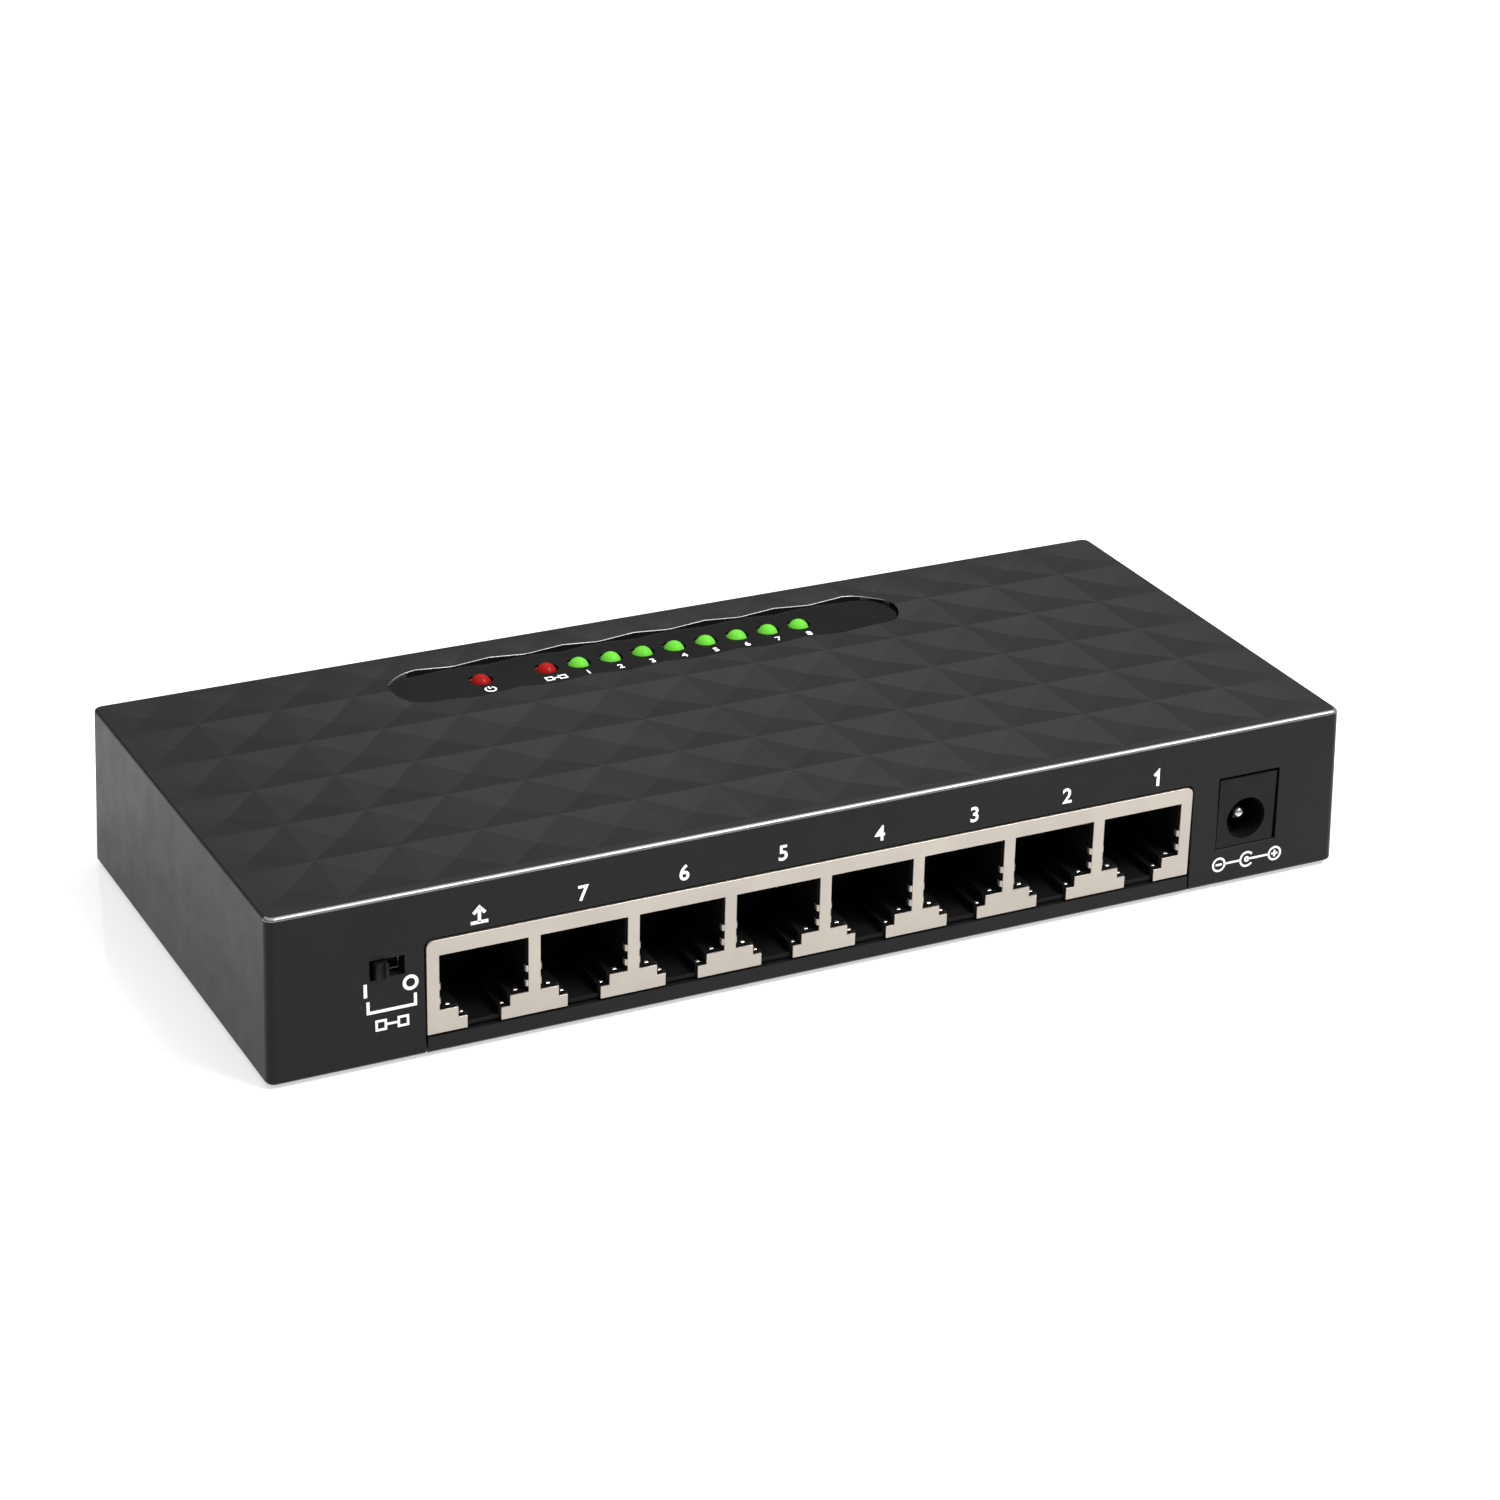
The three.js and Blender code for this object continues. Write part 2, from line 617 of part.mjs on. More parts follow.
// A pin with a round nose, along the barrel's axis, and the lug that joins it to the board.
function inletPin() {
  const lugFront = INLET_REAR + GAP;
  const lugBack = lugFront + 0.4;
  const noseSteps = 3;
  const nose = numbers(noseSteps).map((i) => {
    const angle = ((i / noseSteps) * Math.PI) / 2;
    return [PIN_RADIUS * Math.cos(angle), -PIN_TIP - PIN_RADIUS * (1 - Math.sin(angle))];
  });
  const profile = [[0, 0.1 - lugBack], [PIN_RADIUS, 0.1 - lugBack], ...nose, [0, -PIN_TIP]];
  const pin = turned(profile, 20).rotate([90, 0, 0]).translate([BARREL_X, 0, BARREL_Z]);
  const lug = block(
    [BARREL_X - PIN_LUG_HALF_WIDTH, lugFront, ON_BOARD],
    [BARREL_X + PIN_LUG_HALF_WIDTH, lugBack, BARREL_Z],
  );
  return join(pin, lug);
}

// A leaf under the barrel that presses up on the plug, with a tail down to the board.
function inletSpring() {
  const sheet = SPRING_SHEET;
  const tailY = SPRING_TAIL_Y;
  const low = SPRING_LOW + GAP;
  const crest = BARREL_Z - BARREL_RADIUS + SPRING_CREST;
  const outline = [
    [tailY, ON_BOARD],
    [tailY + sheet, ON_BOARD],
    [tailY + sheet, low + 0.4],
    [tailY - 0.2, low + 0.7],
    [SPRING_CREST_Y, crest],
    [SPRING_FRONT, low + 0.8],
    [SPRING_FRONT, low + 0.5],
    [SPRING_CREST_Y, crest - sheet],
    [tailY, low + 0.3],
  ];
  return prism("x", outline, BARREL_X - SPRING_HALF_WIDTH, BARREL_X + SPRING_HALF_WIDTH);
}

// ---------------------------------------------------------------- slide switch

const SWITCH_REAR = SWITCH_FRONT + SWITCH_DEPTH;
const SWITCH_TOP = SLOT_CENTRE_Z + SWITCH_HALF_HEIGHT;
const SWITCH_BOTTOM = SLOT_CENTRE_Z - SWITCH_HALF_HEIGHT;
const SLIDER_FRONT = SWITCH_FRONT + SWITCH_SHEET + GAP;
const SLIDER_REAR = SLIDER_FRONT + SLIDER_THICKNESS;

// A folded metal shell, open at the back, on two legs that stand on the board.
function switchFrame() {
  const left = SLOT_CENTRE_X - SWITCH_HALF_WIDTH;
  const right = SLOT_CENTRE_X + SWITCH_HALF_WIDTH;
  const sheet = SWITCH_SHEET;
  const windowX = SWITCH_WINDOW_HALF_WIDTH;
  const windowZ = SWITCH_WINDOW_HALF_HEIGHT;
  const shell = cut(
    block([left, SWITCH_FRONT, SWITCH_BOTTOM], [right, SWITCH_REAR, SWITCH_TOP]),
    block(
      [left + sheet, SWITCH_FRONT + sheet, SWITCH_BOTTOM + sheet],
      [right - sheet, SWITCH_REAR + THROUGH, SWITCH_TOP - sheet],
    ),
    block(
      [SLOT_CENTRE_X - windowX, SWITCH_FRONT - THROUGH, SLOT_CENTRE_Z - windowZ],
      [SLOT_CENTRE_X + windowX, SWITCH_FRONT + THROUGH, SLOT_CENTRE_Z + windowZ],
    ),
  );
  const legs = [left, right - sheet].map((x) =>
    block([x, SWITCH_FRONT + 1.2, ON_BOARD], [x + sheet, SWITCH_FRONT + 2.4, SWITCH_TOP - 1]),
  );
  return join(shell, legs);
}

// The slider inside the frame with the knob that stands out through the case.
function switchKnob() {
  const plateHalfZ = SWITCH_HALF_HEIGHT - SWITCH_SHEET - GAP;
  const plate = block(
    [KNOB_X - SLIDER_HALF_WIDTH, SLIDER_FRONT, SLOT_CENTRE_Z - plateHalfZ],
    [KNOB_X + SLIDER_HALF_WIDTH, SLIDER_REAR, SLOT_CENTRE_Z + plateHalfZ],
  );
  const half = KNOB_WIDTH / 2;
  const chamfer = 0.2;
  const groove = 0.32; // half its width
  const grooveDepth = 0.4;
  const outline = [
    [KNOB_X - half, SLIDER_REAR],
    [KNOB_X - half, KNOB_FRONT + chamfer],
    [KNOB_X - half + chamfer, KNOB_FRONT],
    [KNOB_X - groove, KNOB_FRONT],
    [KNOB_X - groove, KNOB_FRONT + grooveDepth],
    [KNOB_X + groove, KNOB_FRONT + grooveDepth],
    [KNOB_X + groove, KNOB_FRONT],
    [KNOB_X + half - chamfer, KNOB_FRONT],
    [KNOB_X + half, KNOB_FRONT + chamfer],
    [KNOB_X + half, SLIDER_REAR],
  ];
  const halfZ = KNOB_HEIGHT / 2;
  return join(plate, prism("z", outline, SLOT_CENTRE_Z - halfZ, SLOT_CENTRE_Z + halfZ));
}

const SWITCH_BASE_REAR = SWITCH_REAR + 0.4;

function switchBase() {
  const halfX = SWITCH_HALF_WIDTH - SWITCH_SHEET - GAP;
  const halfZ = SWITCH_HALF_HEIGHT - SWITCH_SHEET - GAP;
  return block(
    [SLOT_CENTRE_X - halfX, SLIDER_REAR + GAP, SLOT_CENTRE_Z - halfZ],
    [SLOT_CENTRE_X + halfX, SWITCH_BASE_REAR, SLOT_CENTRE_Z + halfZ],
  );
}

// A terminal that leaves the back of the switch and turns down to the board, about x = 0.
function switchTerminal() {
  const size = TERMINAL_SIZE;
  const start = SWITCH_BASE_REAR + GAP;
  const turn = start + 0.7;
  const outline = [
    [start, SLOT_CENTRE_Z - size / 2],
    [turn, SLOT_CENTRE_Z - size / 2],
    [turn, ON_BOARD],
    [turn + size, ON_BOARD],
    [turn + size, SLOT_CENTRE_Z + size / 2],
    [start, SLOT_CENTRE_Z + size / 2],
  ];
  return prism("x", outline, -size / 2, size / 2);
}

// ---------------------------------------------------------------- lamps

// A 3 mm lamp with its long legs, about its own axis.
function lamp() {
  const top = FILM_TOP + LAMP_PROUD;
  const bottom = top - LAMP_LENGTH;
  const domeSteps = 3;
  const dome = numbers(domeSteps).map((i) => {
    const angle = ((i / domeSteps) * Math.PI) / 2;
    return [LAMP_RADIUS * Math.cos(angle), top - LAMP_RADIUS * (1 - Math.sin(angle))];
  });
  const profile = [
    [0, bottom],
    [LAMP_FLANGE_RADIUS, bottom],
    [LAMP_FLANGE_RADIUS, bottom + LAMP_FLANGE_HEIGHT],
    [LAMP_RADIUS, bottom + LAMP_FLANGE_HEIGHT],
    ...dome,
    [0, top],
  ];
  const legs = [-1, 1].map((side) => {
    const x = (side * LAMP_LEG_SPACING) / 2;
    const half = LAMP_LEG / 2;
    return block([x - half, -half, ON_BOARD], [x + half, half, bottom + 0.2]);
  });
  return join(turned(profile, 12), legs);
}

// A bar on the board that holds the lamps' legs upright.
function lampHolder() {
  const top = FILM_TOP + LAMP_PROUD - LAMP_LENGTH - GAP;
  const margin = 4;
  const left = lampPlaces[0].x - margin;
  const right = lampPlaces.at(-1).x + margin;
  const slotX = LAMP_LEG_SPACING / 2 + LAMP_LEG / 2 + GAP;
  const slotY = LAMP_LEG / 2 + GAP;
  const slots = lampPlaces.map(({ x }) =>
    block([x - slotX, WINDOW_Y - slotY, 0], [x + slotX, WINDOW_Y + slotY, RIDGE]),
  );
  return cut(block([left, WINDOW_Y - 2.6, ON_BOARD], [right, WINDOW_Y + 2.6, top]), slots);
}

// ---------------------------------------------------------------- circuit board

function circuitBoard() {
  const outline = [
    [-BOARD_NOTCH_X, BOARD_FRONT],
    [BOARD_NOTCH_X, BOARD_FRONT],
    [BOARD_NOTCH_X, -BOARD_NOTCH_Y],
    [BOARD_HALF_WIDTH, -BOARD_NOTCH_Y],
    [BOARD_HALF_WIDTH, BOARD_NOTCH_Y],
    [BOARD_NOTCH_X, BOARD_NOTCH_Y],
    [BOARD_NOTCH_X, BOARD_REAR],
    [-BOARD_NOTCH_X, BOARD_REAR],
    [-BOARD_NOTCH_X, BOARD_NOTCH_Y],
    [-BOARD_HALF_WIDTH, BOARD_NOTCH_Y],
    [-BOARD_HALF_WIDTH, -BOARD_NOTCH_Y],
    [-BOARD_NOTCH_X, -BOARD_NOTCH_Y],
  ];
  return prism("z", outline, BOARD_UNDER, BOARD_TOP);
}

// A moulded component with flat leads along two or four of its sides, about its own middle.
function leadedPackage({ width, depth, height, leadsX = 0, leadsY = 0, pitch }) {
  const reach = 1.1;
  const length = reach + 0.5;
  const leadWidth = pitch * 0.45;
  const leadTop = ON_BOARD + 0.25;
  const chamfer = 0.3;
  const body = loft([
    roundedRing(width / 2, depth / 2, chamfer, ON_BOARD + 0.1, 1),
    roundedRing(width / 2, depth / 2, chamfer, ON_BOARD + height, 1),
  ]);
  const along = (count, place) =>
    numbers(count).flatMap((i) => place((i - (count - 1) / 2) * pitch - leadWidth / 2));
  const endX = width / 2 + reach;
  const endY = depth / 2 + reach;
  const leads = [
    ...along(leadsX, (x) => [
      block([x, -endY, ON_BOARD], [x + leadWidth, -endY + length, leadTop]),
      block([x, endY - length, ON_BOARD], [x + leadWidth, endY, leadTop]),
    ]),
    ...along(leadsY, (y) => [
      block([-endX, y, ON_BOARD], [-endX + length, y + leadWidth, leadTop]),
      block([endX - length, y, ON_BOARD], [endX, y + leadWidth, leadTop]),
    ]),
  ];
  return join(body, leads);
}

const switchChip = () =>
  leadedPackage({ width: 20, depth: 14, height: 2.2, leadsX: 10, leadsY: 7, pitch: 1.8 });
const lineTransformer = () =>
  leadedPackage({ width: 15.5, depth: 7.2, height: 5.6, leadsX: 6, pitch: 2.4 });
const powerRegulator = () =>
  leadedPackage({ width: 4.9, depth: 3.9, height: 1.6, leadsX: 4, pitch: 1.27 });

const crystal = () => prism("z", pill([0, 0], 5.6, 2.3, 4), ON_BOARD, ON_BOARD + 3.4);

function powerInductor() {
  const height = 3.8;
  const ferrite = loft([
    roundedRing(3.6, 3.6, 1.4, ON_BOARD, 2),
    roundedRing(3.6, 3.6, 1.4, ON_BOARD + height, 2),
  ]);
  const well = rod("z", [0, 0], 2.5, ON_BOARD + height - 0.5, ON_BOARD + height + 1, 16);
  return join(cut(ferrite, well), rod("z", [0, 0], 1.6, ON_BOARD + 1, ON_BOARD + height - 0.2, 12));
}

function capacitorCan(radius, height) {
  const top = ON_BOARD + height;
  const profile = [
    [0, ON_BOARD],
    [radius, ON_BOARD],
    [radius, ON_BOARD + 1],
    [radius - 0.3, ON_BOARD + 1.3],
    [radius, ON_BOARD + 1.6],
    [radius, top - 0.3],
    [radius - 0.3, top],
    [0, top],
  ];
  return turned(profile, 16);
}

// ---------------------------------------------------------------- materials

const finish = (color, roughness, metalness = 0) => ({ color, roughness, metalness });
const BLACK_PLASTIC = finish(0x26262a, 0.45);
const DARK_PLASTIC = finish(0x0b0b0c, 0.5);
const FILM = finish(0x1b1b1d, 0.35);
const NICKEL = finish(0xd6ccbe, 0.38, 0.6);
const STEEL = finish(0xb4b4b4, 0.35, 1);
const GOLD = finish(0xd0a84c, 0.3, 1);
const RUBBER = finish(0x1a1a1a, 0.85);
const PAPER = finish(0xd9d9d6, 0.6);
const BOARD_GREEN = finish(0x1d5a35, 0.4);
const PHENOLIC = finish(0x5b3a22, 0.6);
const FERRITE = finish(0x3a3a3d, 0.7);
const ALUMINIUM = finish(0xb9bcc0, 0.35, 0.9);
const RED_LAMP = finish(0xd71414, 0.25);
const GREEN_LAMP = finish(0x46dc28, 0.25);

// ---------------------------------------------------------------- assembly

const networkSwitch = new THREE.Group();

// Adds a solid as a named mesh, moved from where it was modelled by (x, y).
function place(name, solid, look, [x, y] = [0, 0]) {
  const mesh = new THREE.Mesh(geometryOf(solid), new THREE.MeshStandardMaterial(look));
  mesh.name = name;
  mesh.position.set(x, y, 0);
  networkSwitch.add(mesh);
}

place("top_cover", topCover(), BLACK_PLASTIC);
place("bottom_base", bottomBase(), BLACK_PLASTIC);
place("lamp_window_film", windowFilm(), FILM);
place("underside_label", undersideLabel(), PAPER);
corners(SCREW_X, SCREW_Y).forEach((at, i) => place(`case_screw_${i + 1}`, caseScrew(), STEEL, at));
corners(FOOT_X, FOOT_Y).forEach((at, i) => place(`rubber_foot_${i + 1}`, rubberFoot(), RUBBER, at));

place("circuit_board", circuitBoard(), BOARD_GREEN);
place("jack_shield", jackShield(), NICKEL);
place("jack_housing", jackHousing(), DARK_PLASTIC);
ports.forEach((port) => place(`port_contacts_${port}`, portContacts(), GOLD, [portX(port), 0]));

place("dc_inlet_body", inletBody(), DARK_PLASTIC);
place("dc_inlet_pin", inletPin(), STEEL);
place("dc_inlet_spring", inletSpring(), STEEL);

place("slide_switch_frame", switchFrame(), STEEL);
place("slide_switch_knob", switchKnob(), DARK_PLASTIC);
place("slide_switch_base", switchBase(), PHENOLIC);
[-1, 0, 1].forEach((side, i) => {
  const x = SLOT_CENTRE_X + side * TERMINAL_PITCH;
  place(`slide_switch_terminal_${i + 1}`, switchTerminal(), STEEL, [x, 0]);
});

place("lamp_holder", lampHolder(), DARK_PLASTIC);
lampPlaces.forEach(({ name, x }) =>
  place(`lamp_${name}`, lamp(), name.startsWith("port") ? GREEN_LAMP : RED_LAMP, [x, WINDOW_Y]),
);

place("switch_chip", switchChip(), DARK_PLASTIC, [0, 2]);
[-42, -14, 14, 42].forEach((x, i) =>
  place(`line_transformer_${i + 1}`, lineTransformer(), DARK_PLASTIC, [x, -12.5]),
);
place("crystal", crystal(), STEEL, [22, 2]);
place("power_regulator", powerRegulator(), DARK_PLASTIC, [46, 4]);
place("power_inductor", powerInductor(), FERRITE, [55, 4]);
place("input_capacitor", capacitorCan(4, 11), ALUMINIUM, [66, -12]);
place("output_capacitor", capacitorCan(3.15, 9), ALUMINIUM, [66, 4]);

export default networkSwitch;
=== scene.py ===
"""An eight-port desktop network switch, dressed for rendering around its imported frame.

Everything is in metres in the frame's own axes: +Z up, the ports face -Y. The frame's own nodes
get rounded edges and materials. The lamps, the print and the shield's springs are made here.
"""
import json
import math

import bmesh
import bpy
from mathutils import Matrix, Vector


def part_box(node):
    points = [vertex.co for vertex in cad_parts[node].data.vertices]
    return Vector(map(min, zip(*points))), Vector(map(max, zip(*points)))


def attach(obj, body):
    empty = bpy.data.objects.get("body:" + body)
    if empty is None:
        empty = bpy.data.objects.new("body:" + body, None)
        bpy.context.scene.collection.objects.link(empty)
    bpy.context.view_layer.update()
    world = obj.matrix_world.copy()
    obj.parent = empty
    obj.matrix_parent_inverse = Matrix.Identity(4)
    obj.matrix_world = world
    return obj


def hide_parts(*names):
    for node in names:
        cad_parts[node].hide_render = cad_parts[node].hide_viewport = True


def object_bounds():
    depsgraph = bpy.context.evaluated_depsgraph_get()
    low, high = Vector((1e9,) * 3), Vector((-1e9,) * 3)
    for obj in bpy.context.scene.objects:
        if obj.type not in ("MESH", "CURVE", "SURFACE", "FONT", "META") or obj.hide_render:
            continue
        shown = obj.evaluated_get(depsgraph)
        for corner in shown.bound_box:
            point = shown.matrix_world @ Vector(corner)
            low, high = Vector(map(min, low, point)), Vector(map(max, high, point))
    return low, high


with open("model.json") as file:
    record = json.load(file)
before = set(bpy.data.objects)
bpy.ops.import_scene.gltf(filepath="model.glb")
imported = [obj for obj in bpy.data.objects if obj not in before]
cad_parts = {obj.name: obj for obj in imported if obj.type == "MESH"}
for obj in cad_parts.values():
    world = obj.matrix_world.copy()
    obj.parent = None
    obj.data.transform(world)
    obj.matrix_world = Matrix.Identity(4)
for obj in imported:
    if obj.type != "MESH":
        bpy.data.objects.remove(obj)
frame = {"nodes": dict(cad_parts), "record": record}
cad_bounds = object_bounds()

MM = 0.001
BODY = "case"
nodes = frame["nodes"]

# ---------------------------------------------------------------- camera, floor and light

CAMERA_AZIMUTH = math.radians(-26.81)
CAMERA_ELEVATION = math.radians(24.99)
CAMERA_ROLL = math.radians(1.42)
CAMERA_DISTANCE = 555.5 * MM
CAMERA_AIM_RIGHT = 4.13 * MM
CAMERA_AIM_UP = 15.34 * MM
LENS = 94.66  # mm, like the sensor's width
SENSOR_WIDTH = 36
CLIP_NEAR = 0.01
CLIP_FAR = 20

KEY = {"direction": (0.41, -0.42, 0.81), "distance": 0.95, "size": 0.42, "watts": 14}
REAR_FILL = {"direction": (0.42, 0.55, 0.72), "distance": 1.1, "size": 0.7, "watts": 1.5}
LEFT_FILL = {"direction": (-0.80, 0.75, 0.12), "distance": 0.25, "size": 0.08, "watts": 0.02}

DOME_HORIZON = 0.05
DOME_ZENITH = 2.0
DOME_POWER = 2.0

FLOOR_HALF = 6
FLOOR_DROP = 0.02 * MM  # keeps the floor clear of the feet's flat undersides
FLOOR_ALBEDO = 0.5
FLOOR_ROUGHNESS = 0.05
FLOOR_IOR = 1.8
FLOOR_GLOW = 0.58

WHITE = (1, 1, 1, 1)


def make_camera(base):
    """The photograph's view of the case whose bottom rim is centred on base."""
    a, e = CAMERA_AZIMUTH, CAMERA_ELEVATION
    forward = Vector((-math.sin(a) * math.cos(e), math.cos(a) * math.cos(e), -math.sin(e)))
    right = forward.cross(Vector((0, 0, 1))).normalized()
    up = right.cross(forward)
    place = base + CAMERA_AIM_RIGHT * right + CAMERA_AIM_UP * up - CAMERA_DISTANCE * forward
    turned_right = math.cos(CAMERA_ROLL) * right + math.sin(CAMERA_ROLL) * up
    turned_up = math.cos(CAMERA_ROLL) * up - math.sin(CAMERA_ROLL) * right
    data = bpy.data.cameras.new("camera")
    data.lens = LENS
    data.sensor_width = SENSOR_WIDTH
    data.clip_start = CLIP_NEAR
    data.clip_end = CLIP_FAR
    camera = bpy.data.objects.new("camera", data)
    axes = Matrix((turned_right, turned_up, -forward)).transposed()
    camera.matrix_world = Matrix.Translation(place) @ axes.to_4x4()
    bpy.context.scene.collection.objects.link(camera)
    bpy.context.scene.camera = camera


def make_light(name, direction, distance, size, watts):
    """A square soft light that looks at the origin from a direction."""
    data = bpy.data.lights.new(name, "AREA")
    data.size = size
    data.energy = watts
    light = bpy.data.objects.new(name, data)
    toward = Vector(direction).normalized()
    light.location = toward * distance
    light.rotation_mode = "QUATERNION"
    light.rotation_quaternion = toward.to_track_quat("Z", "Y")
    bpy.context.scene.collection.objects.link(light)


def make_floor(z):
    """A white floor with a glow of its own, which keeps it white all round the case."""
    signs = ((-1, -1), (1, -1), (1, 1), (-1, 1))
    corners = [(x * FLOOR_HALF, y * FLOOR_HALF, z) for x, y in signs]
    mesh = bpy.data.meshes.new("floor")
    mesh.from_pydata(corners, [], [(0, 1, 2, 3)])
    floor = bpy.data.objects.new("floor", mesh)
    bpy.context.scene.collection.objects.link(floor)
    made = bpy.data.materials.new("floor")
    made.use_nodes = True
    shader = made.node_tree.nodes["Principled BSDF"]
    shader.inputs["Base Color"].default_value = (FLOOR_ALBEDO, FLOOR_ALBEDO, FLOOR_ALBEDO, 1)
    shader.inputs["Roughness"].default_value = FLOOR_ROUGHNESS
    shader.inputs["IOR"].default_value = FLOOR_IOR
    shader.inputs["Emission Color"].default_value = WHITE
    shader.inputs["Emission Strength"].default_value = FLOOR_GLOW
    mesh.materials.append(made)


def make_dome():
    """A studio that is dark at the horizon and bright overhead."""
    world = bpy.data.worlds.new("studio")
    world.use_nodes = True
    tree = world.node_tree
    direction = tree.nodes.new("ShaderNodeTexCoord").outputs["Generated"]
    height = tree.nodes.new("ShaderNodeSeparateXYZ")
    tree.links.new(direction, height.inputs["Vector"])

    def math_node(operation, first, *others):
        node = tree.nodes.new("ShaderNodeMath")
        node.operation = operation
        tree.links.new(first, node.inputs[0])
        for socket, value in enumerate(others, 1):
            node.inputs[socket].default_value = value
        return node.outputs["Value"]

    above = math_node("MAXIMUM", height.outputs["Z"], 0.0)
    rise = math_node("POWER", above, DOME_POWER)
    glow = math_node("MULTIPLY_ADD", rise, DOME_ZENITH - DOME_HORIZON, DOME_HORIZON)
    tree.links.new(glow, tree.nodes["Background"].inputs["Strength"])
    tree.nodes["Background"].inputs["Color"].default_value = WHITE
    bpy.context.scene.world = world


# ---------------------------------------------------------------- materials

# Millimetres across the slow changes in colour and in gloss, and the octaves of each noise.
TINT_PATCH = 9
TINT_DETAIL = 4
GLOSS_PATCH = 4
GLOSS_DETAIL = 6
GRAIN_DETAIL = 3
NOISE_LOW = 0.3  # nearly all of a noise texture's values lie between these two
NOISE_HIGH = 0.7


def noise(tree, size_mm, detail):
    """Noise of a size in millimetres, fixed to the object."""
    place = tree.nodes.new("ShaderNodeTexCoord").outputs["Object"]
    node = tree.nodes.new("ShaderNodeTexNoise")
    node.inputs["Scale"].default_value = 1 / (size_mm * MM)
    node.inputs["Detail"].default_value = detail
    tree.links.new(place, node.inputs["Vector"])
    return node.outputs["Fac"]


def spread(tree, value, low, high):
    """A noise's values stretched to run from low to high."""
    node = tree.nodes.new("ShaderNodeMapRange")
    node.inputs["From Min"].default_value = NOISE_LOW
    node.inputs["From Max"].default_value = NOISE_HIGH
    node.inputs["To Min"].default_value = low
    node.inputs["To Max"].default_value = high
    tree.links.new(value, node.inputs["Value"])
    return node.outputs["Result"]


def tinted(tree, colour, mottle):
    """A colour that drifts a little darker and lighter."""
    node = tree.nodes.new("ShaderNodeMix")
    node.data_type = "RGBA"
    node.inputs["A"].default_value = (*[c * (1 - mottle) for c in colour], 1)
    node.inputs["B"].default_value = (*[min(1, c * (1 + mottle)) for c in colour], 1)
    tree.links.new(spread(tree, noise(tree, TINT_PATCH, TINT_DETAIL), 0, 1), node.inputs["Factor"])
    return node.outputs["Result"]


def grained(tree, height_mm, size_mm):
    """A fine grain, as a bump of a height."""
    node = tree.nodes.new("ShaderNodeBump")
    node.inputs["Strength"].default_value = 1.0
    node.inputs["Distance"].default_value = height_mm * MM
    tree.links.new(noise(tree, size_mm, GRAIN_DETAIL), node.inputs["Height"])
    return node.outputs["Normal"]


def material(name, colour, roughness, grain, mottle, metallic=0.0, grain_size=0.3,
             roughness_spread=0.08, settings=None):
    """A moulded, plated or printed surface: fine grain in its bump, and slow changes in its colour
    and gloss. Grain sizes are in millimetres, and settings are values of other shader sockets."""
    made = bpy.data.materials.new(name)
    made.use_nodes = True
    tree = made.node_tree
    shader = tree.nodes["Principled BSDF"]
    shader.inputs["Metallic"].default_value = metallic
    for key, value in (settings or {}).items():
        shader.inputs[key].default_value = value
    gloss = noise(tree, GLOSS_PATCH, GLOSS_DETAIL)
    drift = spread(tree, gloss, roughness - roughness_spread, roughness + roughness_spread)
    tree.links.new(tinted(tree, colour, mottle), shader.inputs["Base Color"])
    tree.links.new(drift, shader.inputs["Roughness"])
    tree.links.new(grained(tree, grain, grain_size), shader.inputs["Normal"])
    return made


SPECULAR = "Specular IOR Level"

